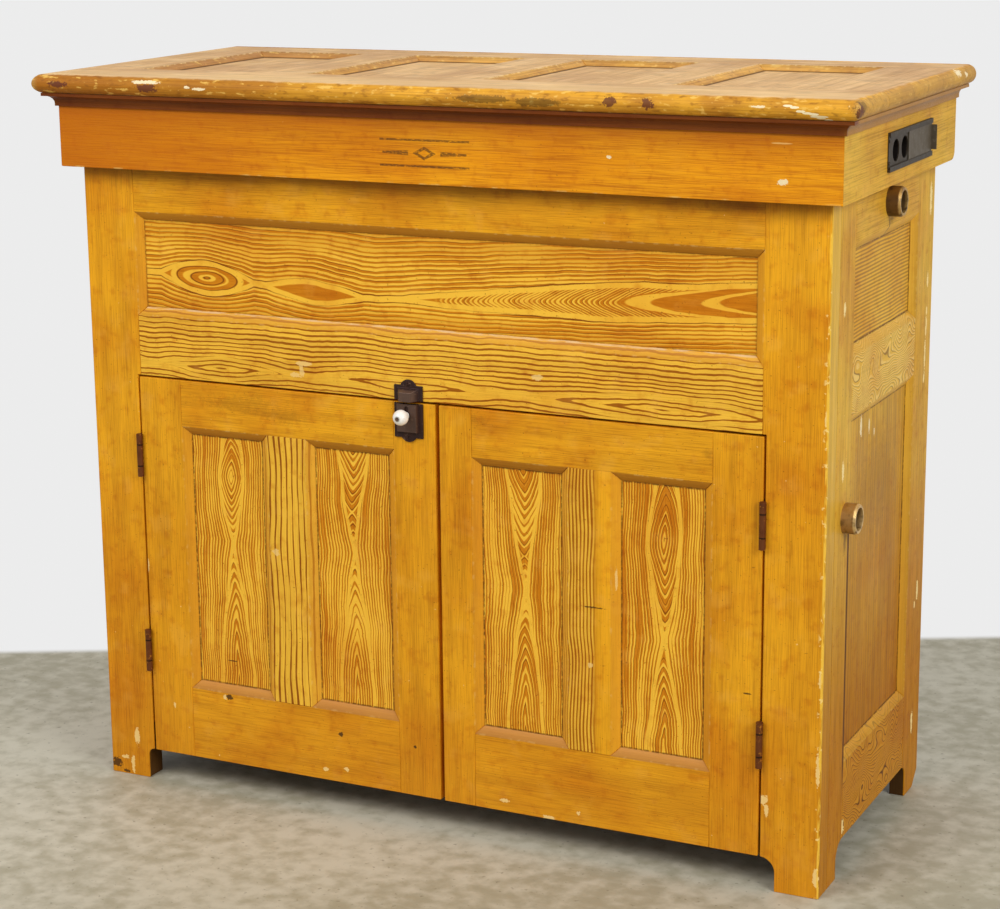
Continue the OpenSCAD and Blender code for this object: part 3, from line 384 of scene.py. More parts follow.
def case_edges(paint, colour, look, grain, side_x):
    """The flank of a front stile in the side's colour, the worn corner before it, and the
    grime and painted shade inside the feet."""
    flank = abs(paint.x).rise(side_x - 1.0, side_x - 0.6)
    faded = paint.mix(grain * 0.40, look.side, srgb(138, 94, 28))
    faded = paint.mix(paint.z.rise(660.0, 120.0), faded, srgb(216, 178, 80), "MULTIPLY")
    joint = paint.y.rise(box_mm("front_right_stile")[1][1] - 2.0,
                         box_mm("front_right_stile")[1][1] - 1.0)
    faded = paint.mix(joint * 0.7, faded, SOOT_AND_SHADE)
    colour = paint.mix(flank, colour, faded)
    fore = paint.y.rise(FRONT + 3.4, FRONT + 2.2)
    corner = paint.x.rise(side_x - 3.6, side_x - 2.2) * fore
    along = paint.noise(paint.x / 5.0, paint.y / 5.0, paint.z / 34.0, 3.0)
    colour = paint.mix(corner * along.rise(0.40, 0.52) * 0.8, colour, srgb(246, 198, 70))
    nicks = paint.x.rise(side_x - 8.0, side_x - 4.0) * fore
    nicks = nicks * paint.blotches(7.0, 63.0).rise(0.60, 0.66)
    colour = paint.mix(nicks * 0.8, colour, srgb(248, 214, 132))
    # Grime and painted shade on the feet's inner faces, which stand in shadow
    inside = paint.y.rise(FRONT + 1.4, FRONT + 3.0) * paint.z.rise(92.0, 86.0)
    return paint.mix(inside * (1.0 - flank) * 0.9, colour, GRIME_AND_SHADE)


def plain_front(name, look, axis, reveals, chips=(), stains=(), hood_shade_top=None, dents=(),
                side_x=None):
    """Fine-grained paint of a front member, with its marks, and painted shadow below the hood
    where a top edge for it is given.
    """
    paint = Paint(name)
    grain = fine_grain(paint, axis)
    broad = paint.blotches(210.0, 13.0, 2.0).rise(0.36, 0.66)
    colour = paint.mix(broad, look.frame, look.frame_dark)
    colour = paint.mix(grain * 0.38, colour, look.dark_grain)
    colour = aged(paint, colour)
    low_down = paint.z.rise(260.0, 20.0) * 0.30
    colour = paint.mix(low_down, colour, srgb(186, 104, 16))
    sunk = nearest(paint.x, paint.z, reveals)
    upper, lower = None, None
    if axis == "x":
        top, bottom = reveals[0][3] - REVEAL, reveals[0][1] + REVEAL
        # Mask of the top reveal, which in_recess gives painted shade
        upper = paint.z.rise(top - 1.0, top + 1.0)
        lower = paint.z.rise(bottom + 1.0, bottom - 1.0)
    colour = in_recess(paint, colour, sunk, upper, lower)
    if hood_shade_top is not None:
        # Painted shadow cast by the hood: a ragged darkening for 34 mm below the given top edge
        ragged = paint.z + (paint.blotches(60.0, 81.0) - 0.5) * 26.0
        colour = paint.mix(ragged.rise(hood_shade_top - 34.0, hood_shade_top) * 0.55, colour, SOOT_AND_SHADE)
    if stains:
        colour = paint.mix(paint.marks(stains, 1.2, 1.0) * 0.24, colour, SOOT_AND_SHADE)
    colour = scattered_chips(paint, colour)
    colour = chipped(paint, colour, chips, BARE)
    if dents:
        colour = paint.mix(paint.marks(dents) * 0.85, colour, srgb(46, 28, 18))
    if side_x is not None:
        colour = case_edges(paint, colour, look, grain, side_x)
    height = grain * -0.5 + paint.blotches(5.0, 91.0) * 0.4
    return paint.finish(colour, satin(paint, grain), height)


def panel_paint(name, look, plane, axis, figures, reveals, chips=(), dents=()):
    """Combed panels. Each figure is (centre, hearts, edge, seed, end): its centre line, its
    hearts, where its lines are straight, a seed, and the place across where the next starts."""
    paint = Paint(name)
    u, v = (paint.y, paint.z) if plane == "side" else (paint.x, paint.z)
    along, across = (v, u) if axis == "z" else (u, v)
    strokes, bead, start = None, None, None
    for centre, hearts, edge, seed, end in figures:
        lines, border = figure(paint, along, across - centre, hearts, edge, seed)
        drawn, beaded = combed(paint, lines, look.comb * 1000.0)
        drawn = drawn.most(border * 0.9)
        if strokes is None:
            strokes, bead = drawn, beaded
        else:
            here = across.rise(start - 0.5, start + 0.5)
            strokes = strokes * (1.0 - here) + drawn * here
            bead = bead * (1.0 - here) + beaded * here
        start = end
    colour = combed_colours(paint, strokes, bead, along, across, look)
    colour = aged(paint, colour, 0.4)
    colour = in_recess(paint, colour, nearest(u, v, reveals))
    colour = chipped(paint, colour, chips)
    if dents:
        colour = paint.mix(paint.marks(dents) * 0.85, colour, srgb(46, 28, 18))
    height = strokes * -0.6 + paint.blotches(5.0, 91.0) * 0.25
    return paint.finish(colour, satin(paint, strokes, 0.32, 0.46), height)


def long_panel_paint(name, look, reveals):
    """The long panel's own figure: a ringed eye, a lens of plain glaze, and a spindle that
    opens to the right with close arcs and then two wide vees in it."""
    paint = Paint(name)
    x, z = paint.x, paint.z
    sway = (paint.noise(x / 130.0, 2.0, z / 90.0, 1.0) - 0.5) * 9.0
    ripple = (paint.noise(x / 26.0, 5.0, z / 20.0, 1.0) - 0.5) * 3.0
    axis = (-88.0 - x).most(0.0) * 0.04 + (x + 88.0).most(0.0) * 0.055 + 747.5
    off = z - axis + sway + ripple
    gap = abs(off)
    eye = abs(x + 356.0) / 84.0
    lens = abs(x + 184.0) / 92.0
    spindle = ((x + 72.0) / 320.0).most(0.0).least(1.0)
    half = ((1.0 - eye ** 1.8) * 25.0).most((1.0 - lens ** 1.5) * 17.0).most(spindle ** 0.7 * 25.0)
    half = half.most(4.2)
    inside = (half - gap).rise(-0.5, 0.5)

    beside = gap - half * (1.0 - gap / 84.0).most(0.0)
    rings = (((x + 356.0) / 22.0) ** 2.0 + (off / 7.6) ** 2.0) ** 0.5 * LONG_PITCH
    arcs = (x - (off * off + 24.0) ** 0.5 * 2.6) * (LONG_PITCH / 7.4)
    in_spindle = x.rise(-80.0, -70.0)
    within = rings + (arcs - rings) * in_spindle
    strokes, bead = combed(paint, beside + (within - beside) * inside, LONG_PITCH, 0.47,
                           drift=0.6)

    tip = x - off * off * 0.32 + ripple * 2.0
    open_part = tip.rise(258.0, 270.0) * inside
    plain = (lens.rise(0.90, 0.86) * inside).most(open_part).most(
        tip.rise(20.0, -4.0) * in_spindle * inside)
    vees = (tip.rise(272.0, 277.0) * tip.rise(312.0, 307.0)).most(
        tip.rise(376.0, 381.0) * tip.rise(404.0, 399.0))
    border = abs(gap - half + 3.4).rise(4.2, 2.8) * inside
    strokes = (strokes * (1.0 - plain)).most(border).most(vees * inside)
    rim = abs(gap - half - 0.8).rise(1.5, 0.5)
    bead = (bead * (1.0 - plain)).most(rim) * (1.0 - border)

    rich = z.rise(796.0, 826.0).most(z.rise(736.0, 722.0))
    strokes = strokes * (1.0 - rich * 0.40)
    colour = combed_colours(paint, strokes, bead, x, z, look)
    colour = aged(paint, colour, 0.4)
    colour = in_recess(paint, colour, nearest(x, z, reveals), grime=0.3)
    height = strokes * -0.6 + paint.blotches(5.0, 91.0) * 0.25
    return paint.finish(colour, satin(paint, strokes, 0.32, 0.46), height)


def striped_front(name, look, axis, pitch, share, reveals, chips=(), dents=(), end=None,
                  hearts=None, centre=0.0, edge=40.0, seed=0.0, dark=0.8):
    """A member of the front combed in long wavering strokes, with a figure if it has hearts.
    Past end, across the grain, it is plain. Dark is the strength of the glaze left between."""
    paint = Paint(name)
    along, across = (paint.z, paint.x) if axis == "z" else (paint.x, paint.z)
    border = 0.0
    if hearts:
        lines, border = figure(paint, along, across - centre, hearts, edge, seed)
    else:
        lines = across + (paint.noise(along / 110.0, seed, across / 90.0, 1.0) - 0.5) * 14.0
    strokes = combed(paint, lines, pitch, share, 0.08, 0.25)[0]
    strokes = strokes.most(border)
    if end is not None:
        plain = across.rise(end - 5.0, end + 5.0)
        strokes = strokes * (1.0 - plain)
    colour = combed_colours(paint, strokes, (1.0 - strokes) * dark, along, across, look)
    if end is not None:
        colour = paint.mix(plain, colour, look.frame)
    colour = paint.mix(fine_grain(paint, axis) * 0.25, colour, look.dark_grain)
    colour = aged(paint, colour, 0.45)
    sunk = nearest(paint.x, paint.z, reveals)
    colour = in_recess(paint, colour, sunk, grime=0.3)
    if axis == "x":
        line = abs(sunk + REVEAL - 1.4).rise(2.4, 0.8)
        broken = paint.noise(paint.x / 30.0, 7.0, paint.z / 3.0, 4.0).rise(0.40, 0.56)
        colour = paint.mix(line * broken * 0.5, colour, srgb(222, 200, 168))
    colour = chipped(paint, colour, chips, BARE, 0.7)
    if dents:
        colour = paint.mix(paint.marks(dents) * 0.8, colour, srgb(60, 36, 16))
    height = strokes * -0.5 + paint.blotches(5.0, 91.0) * 0.3
    return paint.finish(colour, satin(paint, strokes), height)


# Sides, hood, lid and moulding

def side_tone(paint, colour, reveals, stains=(), stain=0.55):
    """What every piece of a side shares: browner low down, its reveals, stains, a painted shadow
    under the hood, and grime with painted shade inside the feet.
    """
    colour = aged(paint, colour, 0.45)
    colour = paint.mix(paint.z.rise(660.0, 120.0), colour, srgb(216, 178, 80), "MULTIPLY")
    colour = in_recess(paint, colour, nearest(paint.y, paint.z, reveals),
                       tint=srgb(216, 160, 50))
    if stains:
        colour = paint.mix(paint.marks(stains, 1.1, 0.9) * stain, colour, SOOT_AND_SHADE)
    # Painted shadow of the hood on the case side, just below the hood's lower edge
    under_hood_shadow = paint.z.rise(898.0, 909.0) * abs(paint.x).rise(550.8, 550.4)
    colour = paint.mix(under_hood_shadow * 0.65, colour, SOOT_AND_SHADE)
    # Grime and painted shade on the inner faces of the feet
    inside = abs(paint.x).rise(548.8, 548.0) * paint.z.rise(88.0, 82.0)
    return paint.mix(inside * 0.9, colour, GRIME_AND_SHADE)


def side_paint(name, look, axis, reveals, curly=False, chips=(), stains=(), drip=None,
               holes=()):
    """The duller paint of a side: straight fine grain, or swirls of a fine comb where it is
    curly. Drip is the place and width of the drain's rust, and holes are (y, z, radius), whose
    bores are painted dark as painted shade."""
    paint = Paint(name)
    grain = fine_grain(paint, axis, 2.0, 90.0)
    broad = paint.blotches(230.0, 17.0, 2.0).rise(0.36, 0.64)
    colour = paint.mix(broad, look.side, look.side_dark)
    if curly:
        swirl = paint.noise(paint.y / 60.0, 4.0, paint.z / 50.0, 0.4) * 96.0 + paint.z * 0.9
        strokes, bead = combed(paint, swirl, 5.0, 0.46, 0.2, 0.2)
        low = paint.z.rise(500.0, 200.0)
        colour = paint.mix(strokes * 0.8, colour, srgb(244, 208, 118))
        colour = paint.mix(bead * (low * 0.3 + 0.7), colour, srgb(112, 66, 14))
        grain = grain * 0.4
    colour = paint.mix(grain * 0.42, colour, srgb(138, 94, 28))
    colour = side_tone(paint, colour, reveals, stains)
    if drip is not None:
        place, width = drip
        run = abs(paint.y - place).rise(width, width * 0.4) * paint.z.rise(520.0, 480.0)
        colour = paint.mix(run * paint.z.rise(90.0, 170.0) * 0.92, colour, srgb(80, 36, 12))
    colour = scattered_chips(paint, colour, 0.01)
    colour = chipped(paint, colour, chips, srgb(248, 224, 156))
    # Painted shade: the walls of each air hole's bore are painted nearly black
    for y, z, radius in holes:
        bore = ((paint.y - y) ** 2.0 + (paint.z - z) ** 2.0) ** 0.5
        colour = paint.mix(bore.rise(radius + 1.4, radius + 0.8), colour, srgb(20, 15, 12))
    height = grain * -0.5 + paint.blotches(5.0, 91.0) * 0.4
    return paint.finish(colour, satin(paint, grain, 0.40, 0.58), height)


def side_panel_paint(name, look, reveals, chips=(), stains=()):
    """A side's two panels: level strokes of the comb in the upper one, and upright bands in
    the lower."""
    paint = Paint(name)
    broad = paint.blotches(230.0, 17.0, 2.0).rise(0.36, 0.64)
    colour = paint.mix(broad, look.side, look.side_dark)
    wander = (paint.noise(paint.y / 120.0, 6.0, paint.z / 90.0, 1.0) - 0.5) * 7.0
    level = combed(paint, paint.z + wander, 4.9, 0.55, 0.2, 0.12)[0]
    upright = combed(paint, paint.y + wander * 0.6, 10.0, 0.5, 0.3, 1.0)[0]
    upper = paint.z.rise(reveals[1][1] - 20.0, reveals[1][1])
    strokes = upright * 0.6 + (level - upright * 0.6) * upper
    colour = paint.mix((1.0 - strokes) * (upper * 0.42 + 0.28), colour, srgb(140, 88, 22))
    grain = fine_grain(paint, "z", 2.0, 160.0) * (1.0 - upper)
    colour = paint.mix(grain * 0.45, colour, srgb(138, 94, 28))
    colour = side_tone(paint, colour, reveals, stains, stain=0.2)
    colour = chipped(paint, colour, chips)
    height = strokes * -0.4 + paint.blotches(5.0, 91.0) * 0.3
    return paint.finish(colour, satin(paint, strokes, 0.40, 0.56), height)


def hood_paint(name, look, chips=(), scratches=(), ornament=None):
    """The front of the hood: level fine grain, glowing orange, painted shade under the
    moulding, rubbed along its lower edge.
    """
    paint = Paint(name)
    low, high = box_mm("hood_front")
    grain = fine_grain(paint, "x", 1.2, 60.0)
    broad = paint.noise(paint.x / 260.0, 3.0, paint.z / 60.0, 2.0).rise(0.36, 0.64)
    colour = paint.mix(broad, look.hood, look.hood_dark)
    colour = paint.mix(grain * 0.60, colour, srgb(168, 86, 4))
    colour = aged(paint, colour, 0.35, 0.05)
    # Painted shade under the cove moulding, darkening the top of the hood's front
    under = paint.z.rise(high[2] - 62.0, high[2] - 16.0)
    colour = paint.mix(under * 0.65, colour, srgb(170, 88, 10))
    left = paint.x.rise(high[0] - 600.0, low[0]) * 0.75
    colour = paint.mix(left, colour, srgb(190, 100, 8))
    hem = paint.z.rise(low[2] + 3.0, low[2] + 0.5) * paint.blotches(18.0, 29.0).rise(0.52, 0.66)
    colour = paint.mix(hem * 0.7, colour, srgb(232, 196, 110))
    if ornament:
        colour = paint.mix(stencil(paint, *ornament) * 0.72, colour, srgb(52, 34, 20))
    colour = scattered_chips(paint, colour)
    colour = chipped(paint, colour, chips)
    if scratches:
        colour = paint.mix(paint.marks(scratches, 0.4) * 0.6, colour, srgb(236, 196, 120))
    height = grain * -0.5 + paint.blotches(5.0, 91.0) * 0.4
    return paint.finish(colour, satin(paint, grain, 0.32, 0.48), height)


def stencil(paint, x, z):
    """A plain stencilled ornament, worn thin: a lozenge between tapering bars and two rules."""
    u, v = abs(paint.x - x), abs(paint.z - z)
    lozenge = (u / 17.0 + v / 9.0).rise(1.04, 0.96)
    hollow = (u / 9.0 + v / 4.6).rise(0.94, 1.06)
    bars = (u.rise(23.0, 24.0) * u.rise(62.0, 61.0)) * (v + u * 0.045 - 4.2).rise(0.4, -0.4)
    rules = abs(v - 17.0).rise(1.7, 1.1) * u.rise(66.0, 65.0)
    shape = (lozenge * hollow).most(bars).most(rules)
    worn = paint.noise(paint.x / 5.0, 2.0, paint.z / 1.6, 2.0).rise(0.28, 0.52)
    return shape * worn


def moulding_paint(name, look):
    paint = Paint(name)
    grain = fine_grain(paint, "x", 1.6, 80.0)
    colour = paint.mix(paint.blotches(90.0, 19.0), look.moulding, srgb(112, 54, 12))
    colour = paint.mix(grain * 0.4, colour, srgb(80, 34, 8))
    colour = aged(paint, colour, 0.3, 0.0)
    side = abs(paint.x).rise(569.0, 572.0) * paint.y.rise(FRONT - 30.0, FRONT - 20.0)
    colour = paint.mix(side * 0.85, colour, srgb(178, 126, 44))
    colour = scattered_chips(paint, colour, -0.02)
    return paint.finish(colour, satin(paint, grain, 0.30, 0.46), grain * -0.4)


def lid_paint(name, look, axis, reveals, chips=(), dents=(), stains=(), scratches=()):
    """The lid's top is worn to a dusty tan; its nosing and reveals keep their ochre."""
    paint = Paint(name)
    low, high = box_mm("lid_front_rail")
    back = box_mm("lid_back_rail")[1]
    outline = (low[0], low[1], high[0], back[1])
    grain = fine_grain(paint, axis, 2.2, 130.0)
    ahead = paint.y.rise(low[1] + 110.0, low[1] + 60.0)
    faded = paint.mix(paint.blotches(120.0, 9.0).rise(0.35, 0.65), look.lid_top,
                      srgb(214, 168, 112))
    faded = paint.mix(grain * 0.55, faded, srgb(166, 118, 66))
    stained = paint.blotches(26.0, 44.0, 5.0).rise(0.50, 0.72) * 0.5
    faded = paint.mix(stained, faded, srgb(168, 132, 88))
    pale = paint.noise(paint.x / 70.0, paint.y / 30.0, 1.0, 3.0).rise(0.55, 0.75)
    faded = paint.mix(pale * 0.5, faded, srgb(240, 204, 150))
    faded = paint.mix(ahead * 0.3, faded, srgb(255, 218, 152))
    left = paint.x.rise(high[0] - 500.0, low[0])
    ochre = paint.mix(paint.blotches(70.0, 39.0).rise(0.35, 0.65), look.nosing,
                      srgb(206, 142, 42))
    ochre = paint.mix(left * 0.9, ochre, srgb(170, 102, 26))
    ochre = paint.mix(grain * 0.45, ochre, srgb(140, 84, 18))
    mottle = paint.noise(paint.x / 15.0, paint.y / 11.0, paint.z / 6.0, 5.0)
    ochre = paint.mix(mottle.rise(0.54, 0.70) * 0.6, ochre, srgb(134, 80, 20))
    ochre = paint.mix(mottle.rise(0.42, 0.32) * 0.7, ochre, srgb(246, 200, 100))
    end = abs(paint.x).rise(high[0] - 12.0, high[0] - 2.0)
    ochre = paint.mix(end * 0.55, ochre, srgb(186, 148, 82))
    rim = beyond(paint.x, paint.y, outline) + (paint.blotches(14.0, 6.0) - 0.5) * 10.0
    sunk = nearest(paint.x, paint.y, reveals)
    slope = sunk.rise(0.8, -0.8) * sunk.rise(-REVEAL - 0.6, -REVEAL + 0.6)
    kept = (rim.rise(-13.0, -7.0) + slope * 0.7).least(1.0)
    colour = paint.mix(kept, faded, ochre)
    dirt = abs(sunk + REVEAL).rise(3.2, 0.3) * 0.9
    colour = paint.mix(dirt, colour, srgb(100, 66, 26))
    rubbed = abs(sunk + 0.4).rise(2.0, 0.2) * paint.blotches(8.0, 27.0, 4.0).rise(0.46, 0.62)
    colour = paint.mix(rubbed * 0.7, colour, srgb(246, 216, 150))
    colour = scattered_chips(paint, colour, 0.015)
    if stains:
        colour = paint.mix(paint.marks(stains, 1.0) * 0.6, colour, srgb(84, 62, 22))
    colour = chipped(paint, colour, chips, srgb(246, 228, 186))
    if scratches:
        colour = paint.mix(paint.marks(scratches, 0.5), colour, srgb(248, 232, 190))
    if dents:
        colour = paint.mix(paint.marks(dents, 1.6) * 0.85, colour, srgb(96, 46, 36))
    height = grain * -0.6 + paint.blotches(7.0, 91.0) * 0.7
    return paint.finish(colour, satin(paint, grain, 0.44, 0.62), height)


def bare_pine(name, axis, tone, underside=None):
    """Unpainted old pine: brown growth rings cut along the board, and grime beneath it."""
    paint = Paint(name)
    along, across, deep = along_across(paint, axis)
    sway = paint.noise(along / 240.0, across / 60.0, deep / 60.0, 2.0)
    rings = (sway * 26.0 + across * 0.12 + deep * 0.1).zigzag(0.5).rise(0.35, 0.9)
    fibres = paint.noise(along / 50.0, across / 1.4, deep / 1.4, 2.0)
    colour = paint.mix(rings * 0.5, tone, srgb(132, 88, 48))
    colour = paint.mix(fibres.rise(0.4, 0.75) * 0.4, colour, srgb(110, 78, 50))
    colour = aged(paint, colour, 0.5)
    if underside is not None:
        colour = paint.mix(paint.z.rise(underside + 1.0, underside + 0.4) * 0.9, colour, GRIME_AND_SHADE)
    return paint.finish(colour, fibres * 0.15 + 0.66, fibres * -0.7)


# Metal and porcelain

def old_iron(name, base, rust, bright, rust_share=0.5, low=0.42, high=0.62, metallic=0.35,
             gaps=(), proud=None):
    """Japanned or varnished iron: rust in clouds and bright scuffs where it is handled.
    Gaps are heights at which a hinge's knuckles part, and iron that stands further out than
    proud is rubbed and gets a painted highlight."""
    paint = Paint(name)
    clouds = paint.blotches(11.0, 4.0, 4.0)
    grit = paint.blotches(1.6, 14.0, 2.0)
    colour = paint.mix(clouds.rise(0.44, 0.68) * rust_share, base, rust)
    scuffs = paint.blotches(5.0, 24.0, 3.0).rise(0.60, 0.74)
    colour = paint.mix(scuffs * 0.6, colour, bright)
    # Painted highlight and rub on the raised block, lighter the further it stands out
    if proud is not None:
        colour = paint.mix(paint.y.rise(proud, proud - 7.0) * 0.5, colour, bright)
    for height in gaps:
        stands_out = paint.y.rise(FRONT, FRONT - 1.0)
        parted = abs(paint.z - height).rise(1.3, 0.7) * stands_out
        colour = paint.mix(parted * 0.9, colour, srgb(30, 16, 8))
    return paint.finish(colour, clouds * (high - low) + low, grit * 0.8 + clouds,
                        metallic=metallic, depth=0.0003)


def socket_iron(name, centre_z, base, rim_tint):
    """A pipe socket: dark brown paint rubbed to gold round its rim, with a painted highlight
    along its top.
    """
    paint = Paint(name)
    rim_x = box_mm("drain_socket")[1][0]
    clouds = paint.blotches(9.0, 4.0, 4.0)
    colour = paint.mix(clouds.rise(0.4, 0.7) * 0.6, base, srgb(60, 40, 16))
    rim = paint.x.rise(rim_x - 5.0, rim_x - 1.0) * paint.blotches(7.0, 31.0).rise(0.3, 0.6)
    colour = paint.mix(rim * 0.75, colour, rim_tint)
    # Painted highlight on the socket's upper half
    crown_highlight = paint.z.rise(centre_z + 4.0, centre_z + 18.0) * clouds.rise(0.30, 0.55)
    colour = paint.mix(crown_highlight * 0.45, colour, srgb(196, 140, 50))
    return paint.finish(colour, clouds * 0.2 + 0.36, clouds * 1.5, metallic=0.55, shine=0.5,
                        depth=0.0006)


def porcelain(name):
    """White glaze, with the dark end of the stem that is riveted over in its middle."""
    paint = Paint(name)
    low, high = box_mm("latch_knob")
    x, z = (low[0] + high[0]) / 2, (low[2] + high[2]) / 2
    colour = paint.mix(paint.blotches(6.0, 3.0).rise(0.5, 0.8) * 0.3, srgb(244, 242, 236),
                       srgb(224, 218, 200))
    across = ((paint.x - x) ** 2.0 + (paint.z - z) ** 2.0) ** 0.5
    grime = across.rise(4.6, 3.2) * paint.y.rise(low[1] + 6.0, low[1] + 3.0)
    colour = paint.mix(grime * 0.6, colour, srgb(70, 72, 48))
    return paint.finish(colour, paint.blotches(4.0, 2.0) * 0.06 + 0.10, shine=0.5)


def zinc(name):
    """Dull sheet zinc with its large faint crystals and water marks."""
    paint = Paint(name)
    cells = paint.node("ShaderNodeTexVoronoi", {}, {
        "Vector": paint.vector(paint.x / 26.0, paint.y / 26.0, paint.z / 26.0), "Scale": 1.0})
    shade = paint.node("ShaderNodeSeparateXYZ", {}, {0: cells.outputs["Color"]})
    crystal = Field(paint, shade.outputs[0])
    colour = paint.mix(crystal, srgb(168, 172, 174), srgb(196, 198, 198))
    colour = paint.mix(paint.blotches(60.0, 5.0, 4.0).rise(0.5, 0.72) * 0.6, colour,
                       srgb(132, 128, 118))
    return paint.finish(colour, crystal * 0.12 + 0.42, paint.blotches(30.0, 2.0), metallic=0.8)


# Geometry

def paint_nodes(material, *names):
    for name in names:
        slots = NODES[name].data.materials
        slots.clear()
        slots.append(material)


def soften(names, width):
    """Rounds the arrises of nodes by a worn bevel of width metres, without touching a mesh."""
    for name in names:
        node = NODES[name]
        node.modifiers.new("weld", "WELD").merge_threshold = 1e-5
        flat = node.modifiers.new("flat", "DECIMATE")
        flat.decimate_type, flat.angle_limit = "DISSOLVE", math.radians(0.5)
        bevel = node.modifiers.new("bevel", "BEVEL")
        bevel.width, bevel.segments = width, 2
        bevel.limit_method, bevel.angle_limit = "ANGLE", math.radians(40.0)
        node.modifiers.new("shade", "WEIGHTED_NORMAL").keep_sharp = False


def new_piece(name, bm, material, body):
    """A finished mesh at the origin that rides on a body."""
    mesh = bpy.data.meshes.new(name)
    bm.normal_update()
    bm.to_mesh(mesh)
    bm.free()
    piece = bpy.data.objects.new(name, mesh)
    bpy.context.scene.collection.objects.link(piece)
    mesh.materials.append(material)
    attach(piece, body)


def add_screw(bm, centre, outward, radius, slot, turn):
    """A slotted head: a round bed that carries two halves of a low cone, cut apart by the slot."""
    normal = Vector(outward).normalized()
    side = normal.orthogonal().normalized()
    basis = Matrix((side, normal.cross(side), normal)).transposed().to_4x4()
    place = Matrix.Translation(Vector(centre)) @ basis @ Matrix.Rotation(turn, 4, "Z")
    height = radius * 0.3
    bmesh.ops.create_cone(bm, cap_ends=True, segments=24, radius1=radius, radius2=radius,
                          depth=height, matrix=place @ Matrix.Translation((0, 0, height / 2)))
    for half in (-1.0, 1.0):
        made = bmesh.ops.create_cone(
            bm, cap_ends=True, segments=24, radius1=radius, radius2=radius * 0.8, depth=height,
            matrix=place @ Matrix.Translation((0, 0, height * 1.4)))
        verts = set(made["verts"])
        edges = [e for e in bm.edges if e.verts[0] in verts]
        faces = [f for f in bm.faces if f.verts[0] in verts]
        cut = bmesh.ops.bisect_plane(
            bm, geom=list(verts) + edges + faces, clear_inner=True,
            plane_co=place @ Vector((0, half * slot / 2, 0)),
            plane_no=place.to_3x3() @ Vector((0, half, 0)))
        rim = [e for e in cut["geom_cut"] if isinstance(e, bmesh.types.BMEdge)]
        bmesh.ops.holes_fill(bm, edges=rim)


def add_screws(name, screws, material, body, radius, slot):
    bm = bmesh.new()
    for i, (centre, outward) in enumerate(screws):
        add_screw(bm, centre, outward, radius, slot, turn=0.7 + 1.9 * i)
    bmesh.ops.recalc_face_normals(bm, faces=bm.faces)
    new_piece(name, bm, material, body)


# Settings

def colour_setting(name, description, default):
    return bpy.props.FloatVectorProperty(name=name, description=description, default=default,
                                         subtype="COLOR", size=3, min=0.0, max=1.0)


def length_setting(name, description, default):
    return bpy.props.FloatProperty(name=name, description=description, default=default,
                                   unit="LENGTH", min=0.0, precision=4)


class CabinetPaint(bpy.types.PropertyGroup):
    """Colours and strokes of the old graining"""
    ground: colour_setting("Ground coat", "What the comb lays bare", srgb(250, 196, 62))
    glaze: colour_setting("Glaze", "Brown glaze between the strokes", srgb(200, 120, 10))
    pale_glaze: colour_setting("Thin glaze", "Glaze where it is wiped thin",
                               srgb(222, 144, 24))
    dark_grain: colour_setting("Dark grain", "Finest strokes and beads of glaze",
                               srgb(122, 62, 4))
    frame: colour_setting("Frame", "Stiles and rails of the front", srgb(242, 172, 30))
    frame_dark: colour_setting("Frame, darker", "Browner stretches of the front's frame",
                               srgb(230, 156, 22))
    side: colour_setting("Side", "Faded paint of the sides", srgb(234, 187, 66))
    side_dark: colour_setting("Side, darker", "Browner stretches of the sides",
                              srgb(224, 169, 48))
    hood: colour_setting("Hood", "Front of the hood", srgb(244, 166, 22))
    hood_dark: colour_setting("Hood, darker", "Browner stretches of the hood",
                              srgb(234, 150, 14))
    moulding: colour_setting("Moulding", "Cove moulding under the lid", srgb(136, 72, 20))
    lid_top: colour_setting("Lid", "Worn top of the lid", srgb(238, 194, 132))
    nosing: colour_setting("Nosing", "Rounded edge of the lid", srgb(240, 176, 52))
    comb: length_setting("Comb", "Width of a stroke and the gap beside it", 0.0049)
    arris: length_setting("Worn arris", "Width of the rounding on the frame's edges", 0.0011)


class CabinetIronware(bpy.types.PropertyGroup):
    """Colours and screws of the ironware"""
    iron: colour_setting("Hinge iron", "Varnished iron of the hinges", srgb(104, 58, 28))
    residue: colour_setting("Residue", "Ochre paint left on the hinges", srgb(206, 136, 36))
    black: colour_setting("Black iron", "Japanned iron of the latch", srgb(56, 40, 38))
    vent: colour_setting("Vent plate", "Darkened plate of the air vent", srgb(64, 56, 46))
    slide: colour_setting("Vent slide", "Rubbed slide of the air vent", srgb(96, 86, 72))
    pipe: colour_setting("Pipe", "Old iron pipe", srgb(92, 70, 40))
    screw_radius: length_setting("Screw head", "Radius of a latch screw's head", 0.0030)
    slot_width: length_setting("Screw slot", "Width of a screw's slot", 0.0008)
    sunk: length_setting("Screw setback", "Depth of a latch screw behind its plate", 0.0003)


